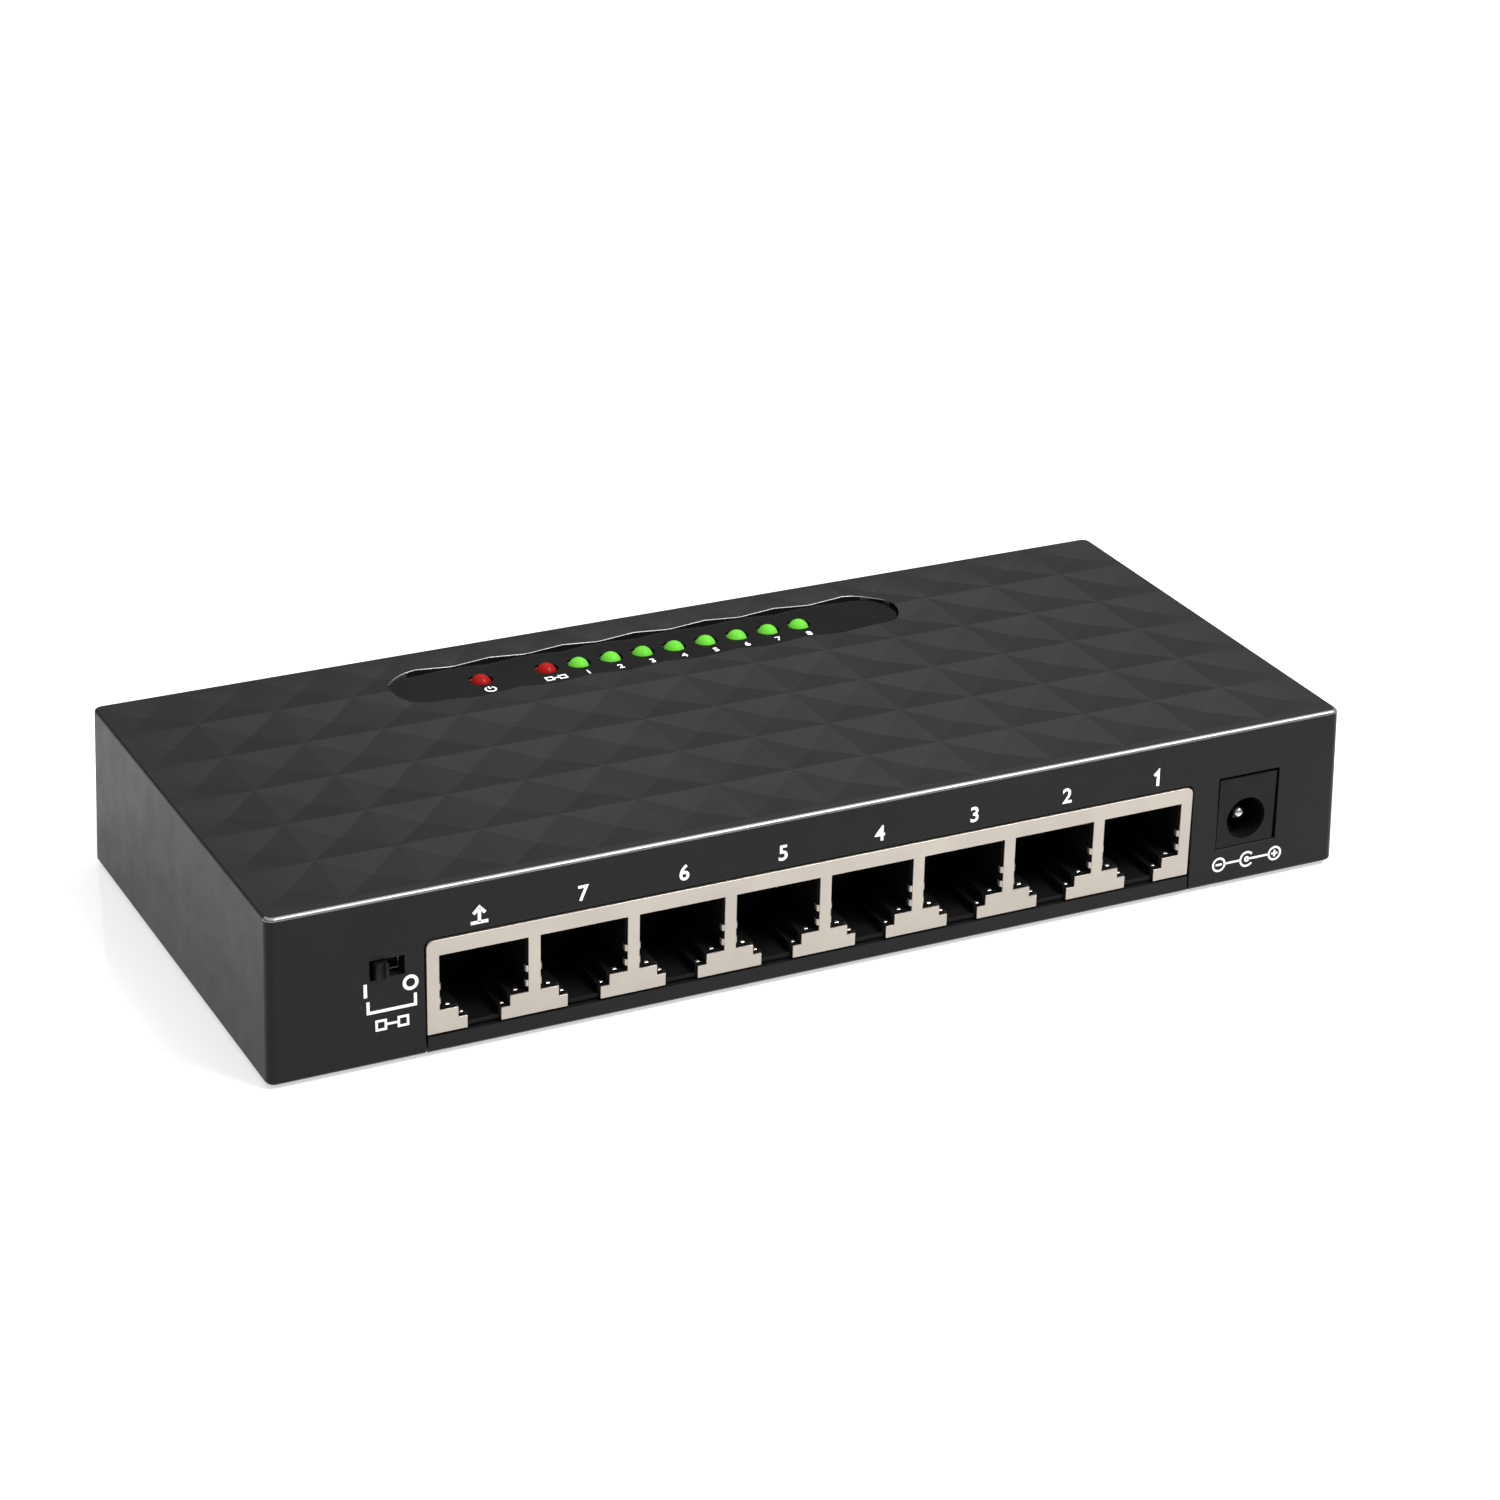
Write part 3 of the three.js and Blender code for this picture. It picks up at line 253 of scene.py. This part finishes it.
SURFACES = {
    "case_plastic": {
        "colour": (0.0055, 0.0055, 0.0056), "roughness": 0.40, "grain": 0.004, "mottle": 0.12,
        "roughness_spread": 0.03, "settings": {SPECULAR: 0.16},
    },
    # A lighter, more reflective copy of case_plastic for the top's front-facing rounded edges: a
    # painted highlight.
    "painted_edge_highlight": {
        "colour": (0.02, 0.02, 0.02), "roughness": 0.40, "grain": 0.002, "mottle": 0.3,
        "roughness_spread": 0.10, "settings": {"IOR": 1.9, SPECULAR: 1.0},
    },
    "window_film": {
        "colour": (0.0028, 0.0028, 0.0028), "roughness": 0.18, "grain": 0.001, "mottle": 0.1,
        "grain_size": 0.6, "roughness_spread": 0.04, "settings": {SPECULAR: 0.05},
    },
    "label_paper": {
        "colour": (0.62, 0.62, 0.60), "roughness": 0.45, "grain": 0.006, "mottle": 0.03,
        "grain_size": 0.25,
    },
    "steel": {
        "colour": (0.56, 0.56, 0.57), "roughness": 0.24, "grain": 0.004, "mottle": 0.08,
        "metallic": 1.0, "grain_size": 0.2,
    },
    "rubber": {
        "colour": (0.014, 0.014, 0.014), "roughness": 0.8, "grain": 0.02, "mottle": 0.2,
    },
    "board": {
        "colour": (0.012, 0.09, 0.035), "roughness": 0.35, "grain": 0.01, "mottle": 0.15,
        "grain_size": 0.5,
    },
    "shield_metal": {
        "colour": (0.405, 0.366, 0.322), "roughness": 0.34, "grain": 0.004, "mottle": 0.05,
        "metallic": 0.85, "grain_size": 0.5, "roughness_spread": 0.06,
    },
    "connector_plastic": {
        "colour": (0.003, 0.003, 0.003), "roughness": 0.5, "grain": 0.006, "mottle": 0.2,
        "settings": {SPECULAR: 0.15},
    },
    "contact_gold": {
        "colour": (0.83, 0.60, 0.22), "roughness": 0.25, "grain": 0.002, "mottle": 0.06,
        "metallic": 1.0, "grain_size": 0.2,
    },
    "phenolic": {
        "colour": (0.11, 0.045, 0.018), "roughness": 0.6, "grain": 0.01, "mottle": 0.2,
    },
    "aluminium": {
        "colour": (0.72, 0.73, 0.75), "roughness": 0.3, "grain": 0.004, "mottle": 0.04,
        "metallic": 1.0,
    },
    "ferrite": {
        "colour": (0.03, 0.03, 0.034), "roughness": 0.65, "grain": 0.02, "mottle": 0.2,
    },
    "package_plastic": {
        "colour": (0.010, 0.010, 0.011), "roughness": 0.55, "grain": 0.01, "mottle": 0.15,
    },
    "print_white": {
        "colour": (0.82, 0.82, 0.80), "roughness": 0.5, "grain": 0.002, "mottle": 0.03,
        "grain_size": 0.15,
    },
}

# Tinted diffused epoxy, lit from inside: its surface, its own colour and the colour of its glow.
LAMP_SURFACE = {
    "roughness": 0.34, "grain": 0.002, "mottle": 0.1, "grain_size": 0.4, "roughness_spread": 0.05,
    "settings": {SPECULAR: 0.07},
}
LAMP_COLOURS = {
    "lamp_green": ((0.068, 0.29, 0.022), (0.12, 0.58, 0.028)),
    "lamp_red": ((0.17, 0.003, 0.003), (0.29, 0.003, 0.003)),
}
LAMP_GLOW = 0.39


def lamp_material(name, colour, glow):
    made = material(name, colour, **LAMP_SURFACE)
    shader = made.node_tree.nodes["Principled BSDF"]
    shader.inputs["Emission Color"].default_value = (*glow, 1)
    shader.inputs["Emission Strength"].default_value = LAMP_GLOW
    return made


LOOKS = {name: material(name, **surface) for name, surface in SURFACES.items()}
for lamp_look, colours in LAMP_COLOURS.items():
    LOOKS[lamp_look] = lamp_material(lamp_look, *colours)


def dress(obj, look):
    obj.data.materials.clear()
    obj.data.materials.append(LOOKS[look])


# ---------------------------------------------------------------- rounded edges on the frame's nodes

# Degrees between the two faces of an edge. It is shaded smooth between a low limit and the round
# limit. The facets of the top meet at less than the facet limit, so their edges stay sharp.
NO_LOW_LIMIT = -1
FACET_LIMIT = 12
ROUND_LIMIT = 50

# The faces with a painted highlight are those of the rounded edges round the top that look up and
# towards the ports' side. They get a lighter, more reflective copy of the case's plastic, which
# brightens the line of light along these edges. Limits on their normals, and on how high they lie.
HIGHLIGHT_NORMAL = (("Z", "GREATER_THAN", 0.2), ("Z", "LESS_THAN", 0.985), ("Y", "LESS_THAN", -0.12))
HIGHLIGHT_ABOVE = 22 * MM
HIGHLIGHT_NODE = "top_cover"
HIGHLIGHT_LOOK = "painted_edge_highlight"
HIGHLIGHT_INDEX = 1

WELD_DISTANCE = 0.002 * MM
FLAT_ANGLE = math.radians(0.5)
BEVEL_ANGLE = math.radians(35)
BEVEL_SEGMENTS = 2
AREA_WEIGHT = 100

# Radii in millimetres.
EDGE_RADII = {
    "case_plastic": 0.12,
    "connector_plastic": 0.08,
    "shield_metal": 0.06,
    "contact_gold": 0.06,
    "board": 0.08,
    "label_paper": 0.03,
    "window_film": 0.05,
}
DEFAULT_EDGE_RADIUS = 0.1


def compare(group, value, operation, limit):
    node = group.nodes.new("FunctionNodeCompare")
    node.data_type = "FLOAT"
    node.operation = operation
    node.inputs["B"].default_value = limit
    group.links.new(value, node.inputs["A"])
    return node.outputs["Result"]


def both(group, first, second):
    node = group.nodes.new("FunctionNodeBooleanMath")
    node.operation = "AND"
    group.links.new(first, node.inputs[0])
    group.links.new(second, node.inputs[1])
    return node.outputs[0]


def split(group, field, output):
    """The X, Y and Z outputs of a vector field."""
    node = group.nodes.new("ShaderNodeSeparateXYZ")
    group.links.new(group.nodes.new(field).outputs[output], node.inputs["Vector"])
    return node.outputs


def shade_smooth(group, geometry, domain):
    node = group.nodes.new("GeometryNodeSetShadeSmooth")
    node.domain = domain
    group.links.new(geometry, node.inputs["Geometry"])
    return node


def polish(group, geometry):
    """Gives the rounded edges of the top their second material, a painted highlight."""
    normal = split(group, "GeometryNodeInputNormal", "Normal")
    place = split(group, "GeometryNodeInputPosition", "Position")
    chosen = compare(group, place["Z"], "GREATER_THAN", HIGHLIGHT_ABOVE)
    for axis, operation, limit in HIGHLIGHT_NORMAL:
        chosen = both(group, chosen, compare(group, normal[axis], operation, limit))
    node = group.nodes.new("GeometryNodeSetMaterialIndex")
    node.inputs["Material Index"].default_value = HIGHLIGHT_INDEX
    group.links.new(geometry, node.inputs["Geometry"])
    group.links.new(chosen, node.inputs["Selection"])
    return node.outputs[0]


def edge_rule(low_degrees, high_degrees, highlighted=False):
    """Geometry nodes that shade smooth, with edges kept sharp where the faces meet at less than the
    low angle or more than the high one. A highlighted rule also gives the edges of the top their
    painted highlight."""
    group = bpy.data.node_groups.new(f"edges_{low_degrees}_{high_degrees}", "GeometryNodeTree")
    group.interface.new_socket("Geometry", in_out="INPUT", socket_type="NodeSocketGeometry")
    group.interface.new_socket("Geometry", in_out="OUTPUT", socket_type="NodeSocketGeometry")
    source = group.nodes.new("NodeGroupInput").outputs[0]
    result = group.nodes.new("NodeGroupOutput").inputs[0]
    angle = group.nodes.new("GeometryNodeInputMeshEdgeAngle").outputs["Unsigned Angle"]
    soft = both(
        group,
        compare(group, angle, "GREATER_THAN", math.radians(low_degrees)),
        compare(group, angle, "LESS_THAN", math.radians(high_degrees)),
    )
    faces = shade_smooth(group, source, "FACE")
    edges = shade_smooth(group, faces.outputs[0], "EDGE")
    group.links.new(soft, edges.inputs["Shade Smooth"])
    geometry = polish(group, edges.outputs[0]) if highlighted else edges.outputs[0]
    group.links.new(geometry, result)
    return group


ROUNDED = edge_rule(NO_LOW_LIMIT, ROUND_LIMIT)
FACETED = edge_rule(FACET_LIMIT, ROUND_LIMIT, highlighted=True)


def round_edges(obj, radius_mm, rule):
    """Small radii on an object's hard edges, as a tool leaves them."""
    weld = obj.modifiers.new("weld", "WELD")
    weld.merge_threshold = WELD_DISTANCE
    planar = obj.modifiers.new("planar", "DECIMATE")
    planar.decimate_type = "DISSOLVE"
    planar.angle_limit = FLAT_ANGLE
    bevel = obj.modifiers.new("bevel", "BEVEL")
    bevel.limit_method = "ANGLE"
    bevel.angle_limit = BEVEL_ANGLE
    bevel.width = radius_mm * MM
    bevel.segments = BEVEL_SEGMENTS
    bevel.use_clamp_overlap = True
    shade = obj.modifiers.new("shade", "NODES")
    shade.node_group = rule
    flat = obj.modifiers.new("flat", "WEIGHTED_NORMAL")
    flat.mode = "FACE_AREA"
    flat.weight = AREA_WEIGHT
    flat.keep_sharp = True


def dress_frame():
    for part in frame["record"]["subparts"]:
        obj = nodes[part["node"]]
        look = part["material_slot"]
        # The top cover also gets a painted highlight: a second, brighter material on its front-facing
        # rounded edges.
        highlighted = part["node"] == HIGHLIGHT_NODE
        dress(obj, look)
        if highlighted:
            obj.data.materials.append(LOOKS[HIGHLIGHT_LOOK])
        round_edges(obj, EDGE_RADII.get(look, DEFAULT_EDGE_RADIUS), FACETED if highlighted else ROUNDED)


# ---------------------------------------------------------------- lamps

LAMP_NODES = ("lamp_port_", "lamp_power", "lamp_vlan")
LAMP_RADIUS = 1.5 * MM
LAMP_LENGTH = 5.3 * MM
LAMP_FLANGE_HEIGHT = 1.0 * MM
LAMP_RIM = 0.12 * MM
LAMP_DOME_STEPS = 10
LATHE_SIDES = 48
ON_AXIS = 1e-9


def add_piece(name, mesh, look):
    obj = bpy.data.objects.new(name, mesh)
    bpy.context.scene.collection.objects.link(obj)
    dress(obj, look)
    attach(obj, BODY)
    return obj


def ring_of(bm, radius, z, centre):
    """The vertices that a point of a lathe's profile makes: one on the axis, or a whole ring."""
    if radius < ON_AXIS:
        return [bm.verts.new((centre.x, centre.y, z))]
    angles = [2 * math.pi * i / LATHE_SIDES for i in range(LATHE_SIDES)]
    return [
        bm.verts.new((centre.x + radius * math.cos(t), centre.y + radius * math.sin(t), z))
        for t in angles
    ]


def lathe(mesh_name, profile, centre):
    """A profile of (radius, height), from the axis back to the axis, turned about Z."""
    bm = bmesh.new()
    rings = [ring_of(bm, radius, z, centre) for radius, z in profile]
    for lower, upper in zip(rings, rings[1:]):
        for i in range(LATHE_SIDES):
            j = (i + 1) % LATHE_SIDES
            below = [lower[i % len(lower)], lower[j % len(lower)]]
            above = [upper[j % len(upper)], upper[i % len(upper)]]
            corners = list(dict.fromkeys(below + above))
            bm.faces.new(corners).smooth = True
    mesh = bpy.data.meshes.new(mesh_name)
    bm.to_mesh(mesh)
    bm.free()
    return mesh


def lamp_profile(top, flange):
    """A round-nosed lens on a flange of a radius."""
    bottom = top - LAMP_LENGTH
    flange_top = bottom + LAMP_FLANGE_HEIGHT
    angles = [math.pi / 2 * i / LAMP_DOME_STEPS for i in range(LAMP_DOME_STEPS)]
    dome = [(LAMP_RADIUS * math.cos(t), top - LAMP_RADIUS * (1 - math.sin(t))) for t in angles]
    return [
        (0, bottom),
        (flange - LAMP_RIM, bottom),
        (flange, bottom + LAMP_RIM),
        (flange, flange_top - LAMP_RIM),
        (flange - LAMP_RIM, flange_top),
        (LAMP_RADIUS, flange_top),
        *dome,
        (0, top),
    ]


def make_lamps():
    for name in sorted(node for node in nodes if node.startswith(LAMP_NODES)):
        low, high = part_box(name)
        profile = lamp_profile(high.z, (high.x - low.x) / 2)
        look = "lamp_green" if name.startswith("lamp_port") else "lamp_red"
        mesh = lathe(name, profile, (low + high) / 2)
        lens = add_piece(name.replace("lamp_", "lens_"), mesh, look)
        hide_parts(name)


# ---------------------------------------------------------------- the shield's springs

PORTS = 8
PORT_HALF_WIDTH = 6.15 * MM
SPRING_SHEET = 0.12 * MM
SPRING_START = 0.1 * MM  # behind the shield's face
ROOT_DEPTH = 0.06  # how far into its wall a leaf starts, in millimetres like the leaves below
LEAF_TAPER = 0.2
BOW_STEPS = 8
BOW_SKEW = 0.7  # under 1, so that a leaf's highest point is nearer to its root
SIDE_LEAF = {"width": 0.9, "reach": 1.3, "bow": 0.3}
SIDE_LEAF_HEIGHTS = (4.5 * MM, 6.6 * MM)
SHOULDER_LEAF = {"reach": 1.0, "bow": 0.26}
SHOULDER_LEAF_DEPTH = 0.7 * MM
# Each one's distance from the port's middle, its height, and its width in millimetres.
SHOULDER_LEAVES = ((4.7 * MM, 3.2 * MM, 0.5), (2.8 * MM, 1.7 * MM, 0.4))

RIGHT = Vector((1, 0, 0))
BACK = Vector((0, 1, 0))
UP = Vector((0, 0, 1))


def leaf(bm, root, across, inward, width, reach, bow):
    """A bowed strip of sheet that starts at root on a wall and runs back into the port. Across is the
    direction of its width, and inward points off the wall into the port. Sizes in millimetres."""
    rows = []
    for step in range(BOW_STEPS + 1):
        along = step / BOW_STEPS
        bulge = bow * math.sin(math.pi * along ** BOW_SKEW) - ROOT_DEPTH
        middle = root + BACK * along * reach * MM + inward * bulge * MM
        half = across * width * (1 - LEAF_TAPER * along) * MM / 2
        edges = (middle - half, middle + half)
        rows.append([bm.verts.new(p + inward * lift) for lift in (0, SPRING_SHEET) for p in edges])
    for a, b in zip(rows, rows[1:]):
        for i, j in ((0, 1), (1, 3), (3, 2), (2, 0)):
            bm.faces.new((a[i], a[j], b[j], b[i]))
    bm.faces.new([rows[0][i] for i in (0, 2, 3, 1)])
    bm.faces.new([rows[-1][i] for i in (1, 3, 2, 0)])


def add_leaves(bm, centre, side, face, bottom):
    """The leaves on one side of a port: two on its wall and one on each of its two shoulders."""
    wall = centre + side * PORT_HALF_WIDTH
    for height in SIDE_LEAF_HEIGHTS:
        leaf(bm, Vector((wall, face, bottom + height)), UP, -side * RIGHT, **SIDE_LEAF)
    for x, height, width in SHOULDER_LEAVES:
        root = Vector((centre + side * x, face + SHOULDER_LEAF_DEPTH, bottom + height))
        leaf(bm, root, RIGHT, UP, width, **SHOULDER_LEAF)


def make_shield_springs():
    """The shield's grounding leaves, as one piece for each port."""
    shield_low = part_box("jack_shield")[0]
    for port in range(1, PORTS + 1):
        low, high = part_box(f"port_contacts_{port}")
        bm = bmesh.new()
        for side in (-1, 1):
            add_leaves(bm, (low.x + high.x) / 2, side, shield_low.y + SPRING_START, shield_low.z)
        bmesh.ops.recalc_face_normals(bm, faces=bm.faces)
        mesh = bpy.data.meshes.new(f"shield_springs_{port}")
        bm.to_mesh(mesh)
        bm.free()
        springs = add_piece(f"shield_springs_{port}", mesh, "shield_metal")
        springs.modifiers.new("shade", "NODES").node_group = ROUNDED


# ---------------------------------------------------------------- drawing on a plane

INK = 0.03 * MM
MITRE_LIMIT = 0.4
ARC_STEPS = 28
SAME_POINT = 1e-6


def placed(plane, x, height):
    """The matrix that puts a flat drawing on a plane, at x and at a height up it, in millimetres."""
    origin, right, up, out = plane
    axes = Matrix((right, up, out)).transposed().to_4x4()
    return Matrix.Translation(origin + x * MM * right + height * MM * up) @ axes


def printed_text(name, text, size, weight, plane, x, height):
    """Text in ink, with its strokes made heavier by a weight. Sizes in millimetres."""
    curve = bpy.data.curves.new(name, "FONT")
    curve.body = text
    curve.size = size * MM
    curve.align_x = "CENTER"
    curve.align_y = "CENTER"
    curve.extrude = INK
    curve.offset = weight * MM
    carrier = bpy.data.objects.new(name + "_outline", curve)
    bpy.context.scene.collection.objects.link(carrier)
    bpy.context.view_layer.update()
    outline = carrier.evaluated_get(bpy.context.evaluated_depsgraph_get())
    mesh = bpy.data.meshes.new_from_object(outline)
    bpy.data.objects.remove(carrier)
    mesh.transform(placed(plane, x, height))
    return add_piece(name, mesh, "print_white")


def ribbon_sides(points, width, closed):
    """The left and right sides of a ribbon of constant width along points, mitred where it turns."""
    last = len(points) - 1
    left, right = [], []
    for i, point in enumerate(points):
        before = points[i - 1] if closed or i > 0 else point
        after = points[(i + 1) % len(points)] if closed or i < last else point
        incoming = (point - before).normalized() if before != point else (after - point).normalized()
        outgoing = (after - point).normalized() if after != point else incoming
        along = incoming + outgoing
        normal = Vector((-along.y, along.x)).normalized()
        turn = normal.dot(Vector((-incoming.y, incoming.x)))
        mitre = width / 2 / max(MITRE_LIMIT, turn)
        left.append(point + normal * mitre)
        right.append(point - normal * mitre)
    return left, right


def stroke(bm, points, width, closed):
    """A flat ribbon along points, raised by the ink's thickness and sunk as deep into the wall."""
    def row(side, z):
        return [bm.verts.new((p.x, p.y, z)) for p in side]

    left, right = ribbon_sides(points, width, closed)
    low_left, low_right = row(left, -INK), row(right, -INK)
    high_left, high_right = row(left, INK), row(right, INK)
    count = len(points)
    for i in range(count if closed else count - 1):
        j = (i + 1) % count
        bm.faces.new((high_left[i], high_right[i], high_right[j], high_left[j]))
        bm.faces.new((low_left[j], low_right[j], low_right[i], low_left[i]))
        bm.faces.new((low_right[i], low_right[j], high_right[j], high_right[i]))
        bm.faces.new((low_left[j], low_left[i], high_left[i], high_left[j]))
    if not closed:
        bm.faces.new((low_left[0], low_right[0], high_right[0], high_left[0]))
        bm.faces.new((high_left[-1], high_right[-1], low_right[-1], low_left[-1]))


def printed_drawing(name, strokes, width, plane, x, height):
    """Strokes are lists of points in millimetres. A list that ends where it starts is a loop."""
    bm = bmesh.new()
    for line in strokes:
        closed = math.dist(line[0], line[-1]) < SAME_POINT
        points = [Vector(p) * MM for p in (line[:-1] if closed else line)]
        stroke(bm, points, width * MM, closed)
    mesh = bpy.data.meshes.new(name)
    bm.to_mesh(mesh)
    bm.free()
    mesh.transform(placed(plane, x, height))
    return add_piece(name, mesh, "print_white")


def arc(x, y, radius, start=0.0, end=360.0):
    angles = [math.radians(start + (end - start) * i / ARC_STEPS) for i in range(ARC_STEPS + 1)]
    return [(x + radius * math.cos(t), y + radius * math.sin(t)) for t in angles]


def box_outline(x, y, half):
    corners = ((-1, -1), (1, -1), (1, 1), (-1, 1), (-1, -1))
    return [(x + half * right, y + half * up) for right, up in corners]


# ---------------------------------------------------------------- the signs
#
# Everything below is in millimetres: signs about their own middles, and places on the front wall
# and on the film from the middle of the case.

DIGIT_ONE = [[(-0.55, 0.5), (0.05, 1.05), (0.05, -1.1)]]
UPLINK_ARROW = [
    [(0, -1.05), (0, 1.0)],
    [(-0.8, 0.2), (0, 1.05), (0.8, 0.2)],
    [(-1.2, -1.05), (1.2, -1.05)],
]
ON_BAR = [[(0, -0.95), (0, 0.95)]]
OFF_RING = [arc(0, 0, 0.85)]
BRACKET = [[(-3.2, 0.9), (-3.2, -0.7), (3.2, -0.7), (3.2, 0.9)]]
POWER_SIGN = [arc(0, 0, 0.75, 120, 420), [(0, 0.1), (0, 0.95)]]


def joined_groups(apart, half):
    """Two boxes with a line between them."""
    wire = [(half - apart, 0), (apart - half, 0)]
    return [box_outline(-apart, 0, half), box_outline(apart, 0, half), wire]


def polarity(reach=4.6, ring=0.95, arm=0.5, socket=1.05, pin=0.28):
    """A minus and a plus in rings, wired to the socket and the pin between them."""
    minus = [arc(-reach, 0, ring), [(-reach - arm, 0), (-reach + arm, 0)]]
    plus = [arc(reach, 0, ring), [(reach - arm, 0), (reach + arm, 0)], [(reach, -arm), (reach, arm)]]
    inlet = [arc(0, 0, socket, 40, 320), arc(0, 0, pin)]
    wires = [[(ring - reach, 0), (-socket, 0)], [(pin, 0), (reach - ring, 0)]]
    return minus + plus + inlet + wires


# ---------------------------------------------------------------- print on the front wall

CASE_DRAFT = 0.56 * MM  # how far the wall leans back between its foot and its top

PORT_LABEL_PITCH = 14.34
PORT_LABEL_FIRST = 49.6
PORT_LABEL_HEIGHT = 18.25
PORT_STROKE = 0.45
DIGIT_SIZE = 3.05
DIGIT_WEIGHT = 0.055

SWITCH_X = -62.9
SWITCH_ON_X = -66.4
SWITCH_OFF_X = -60.3
SWITCH_ON_OFF_HEIGHT = 10.7
SWITCH_BRACKET_HEIGHT = 8.2
SWITCH_GROUPS_HEIGHT = 5.5
BRACKET_STROKE = 0.4
GROUPS_STROKE = 0.32

INLET_X = 65.1
INLET_SIGN_HEIGHT = 3.0
INLET_STROKE = 0.3


def on_front():
    """The case's drafted front wall as a plane: origin, right, up and outward."""
    low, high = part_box("top_cover")
    up = Vector((0, CASE_DRAFT, high.z - low.z)).normalized()
    return Vector((0, low.y, low.z)), RIGHT, up, Vector((0, -up.z, up.y))


def print_port_labels(plane):
    """A number over each port but the last, which has an arrow."""
    places = [PORT_LABEL_FIRST - port * PORT_LABEL_PITCH for port in range(PORTS)]
    printed_drawing("print_port_1", DIGIT_ONE, PORT_STROKE, plane, places[0], PORT_LABEL_HEIGHT)
    for port, x in enumerate(places[1:-1], 2):
        name = f"print_port_{port}"
        printed_text(name, str(port), DIGIT_SIZE, DIGIT_WEIGHT, plane, x, PORT_LABEL_HEIGHT)
    printed_drawing("print_uplink", UPLINK_ARROW, PORT_STROKE, plane, places[-1], PORT_LABEL_HEIGHT)


def print_switch_signs(plane):
    signs = (
        ("on", ON_BAR, PORT_STROKE, SWITCH_ON_X, SWITCH_ON_OFF_HEIGHT),
        ("off", OFF_RING, PORT_STROKE, SWITCH_OFF_X, SWITCH_ON_OFF_HEIGHT),
        ("bracket", BRACKET, BRACKET_STROKE, SWITCH_X, SWITCH_BRACKET_HEIGHT),
        ("groups", joined_groups(1.5, 0.62), GROUPS_STROKE, SWITCH_X, SWITCH_GROUPS_HEIGHT),
    )
    for name, strokes, width, x, height in signs:
        printed_drawing(f"print_switch_{name}", strokes, width, plane, x, height)


def print_front():
    plane = on_front()
    print_port_labels(plane)
    print_switch_signs(plane)
    name = "print_inlet_polarity"
    printed_drawing(name, polarity(), INLET_STROKE, plane, INLET_X, INLET_SIGN_HEIGHT)


# ---------------------------------------------------------------- print on the lamps' film

FILM_LABEL_Y = 19.75
FILM_DIGIT_SIZE = 1.75
FILM_DIGIT_WEIGHT = 0.03
FILM_STROKE = 0.26


def on_film():
    """The film's upper face as a plane: origin, right, up its print and outward."""
    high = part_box("lamp_window_film")[1]
    return Vector((0, 0, high.z)), RIGHT, BACK, UP


def middle_x(node):
    low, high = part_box(node)
    return (low.x + high.x) / 2 / MM


def print_film():
    plane = on_film()
    for port in range(1, PORTS + 1):
        name, x = f"print_lamp_{port}", middle_x(f"lamp_port_{port}")
        printed_text(name, str(port), FILM_DIGIT_SIZE, FILM_DIGIT_WEIGHT, plane, x, FILM_LABEL_Y)
    signs = (
        ("power", POWER_SIGN, "lamp_power"),
        ("groups", joined_groups(1.0, 0.5), "lamp_vlan"),
    )
    for name, strokes, lamp in signs:
        x = middle_x(lamp)
        printed_drawing(f"print_lamp_{name}", strokes, FILM_STROKE, plane, x, FILM_LABEL_Y)


# ---------------------------------------------------------------- assembly

bpy.context.scene.view_settings.view_transform = "Standard"
make_camera(Vector((0, 0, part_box("top_cover")[0].z)))
make_floor(cad_bounds[0].z - FLOOR_DROP)
make_dome()
make_light("key", **KEY)
make_light("rear_fill", **REAR_FILL)
make_light("left_fill", **LEFT_FILL)
dress_frame()
make_lamps()
make_shield_springs()
print_front()
print_film()

bpy.context.view_layer.update()
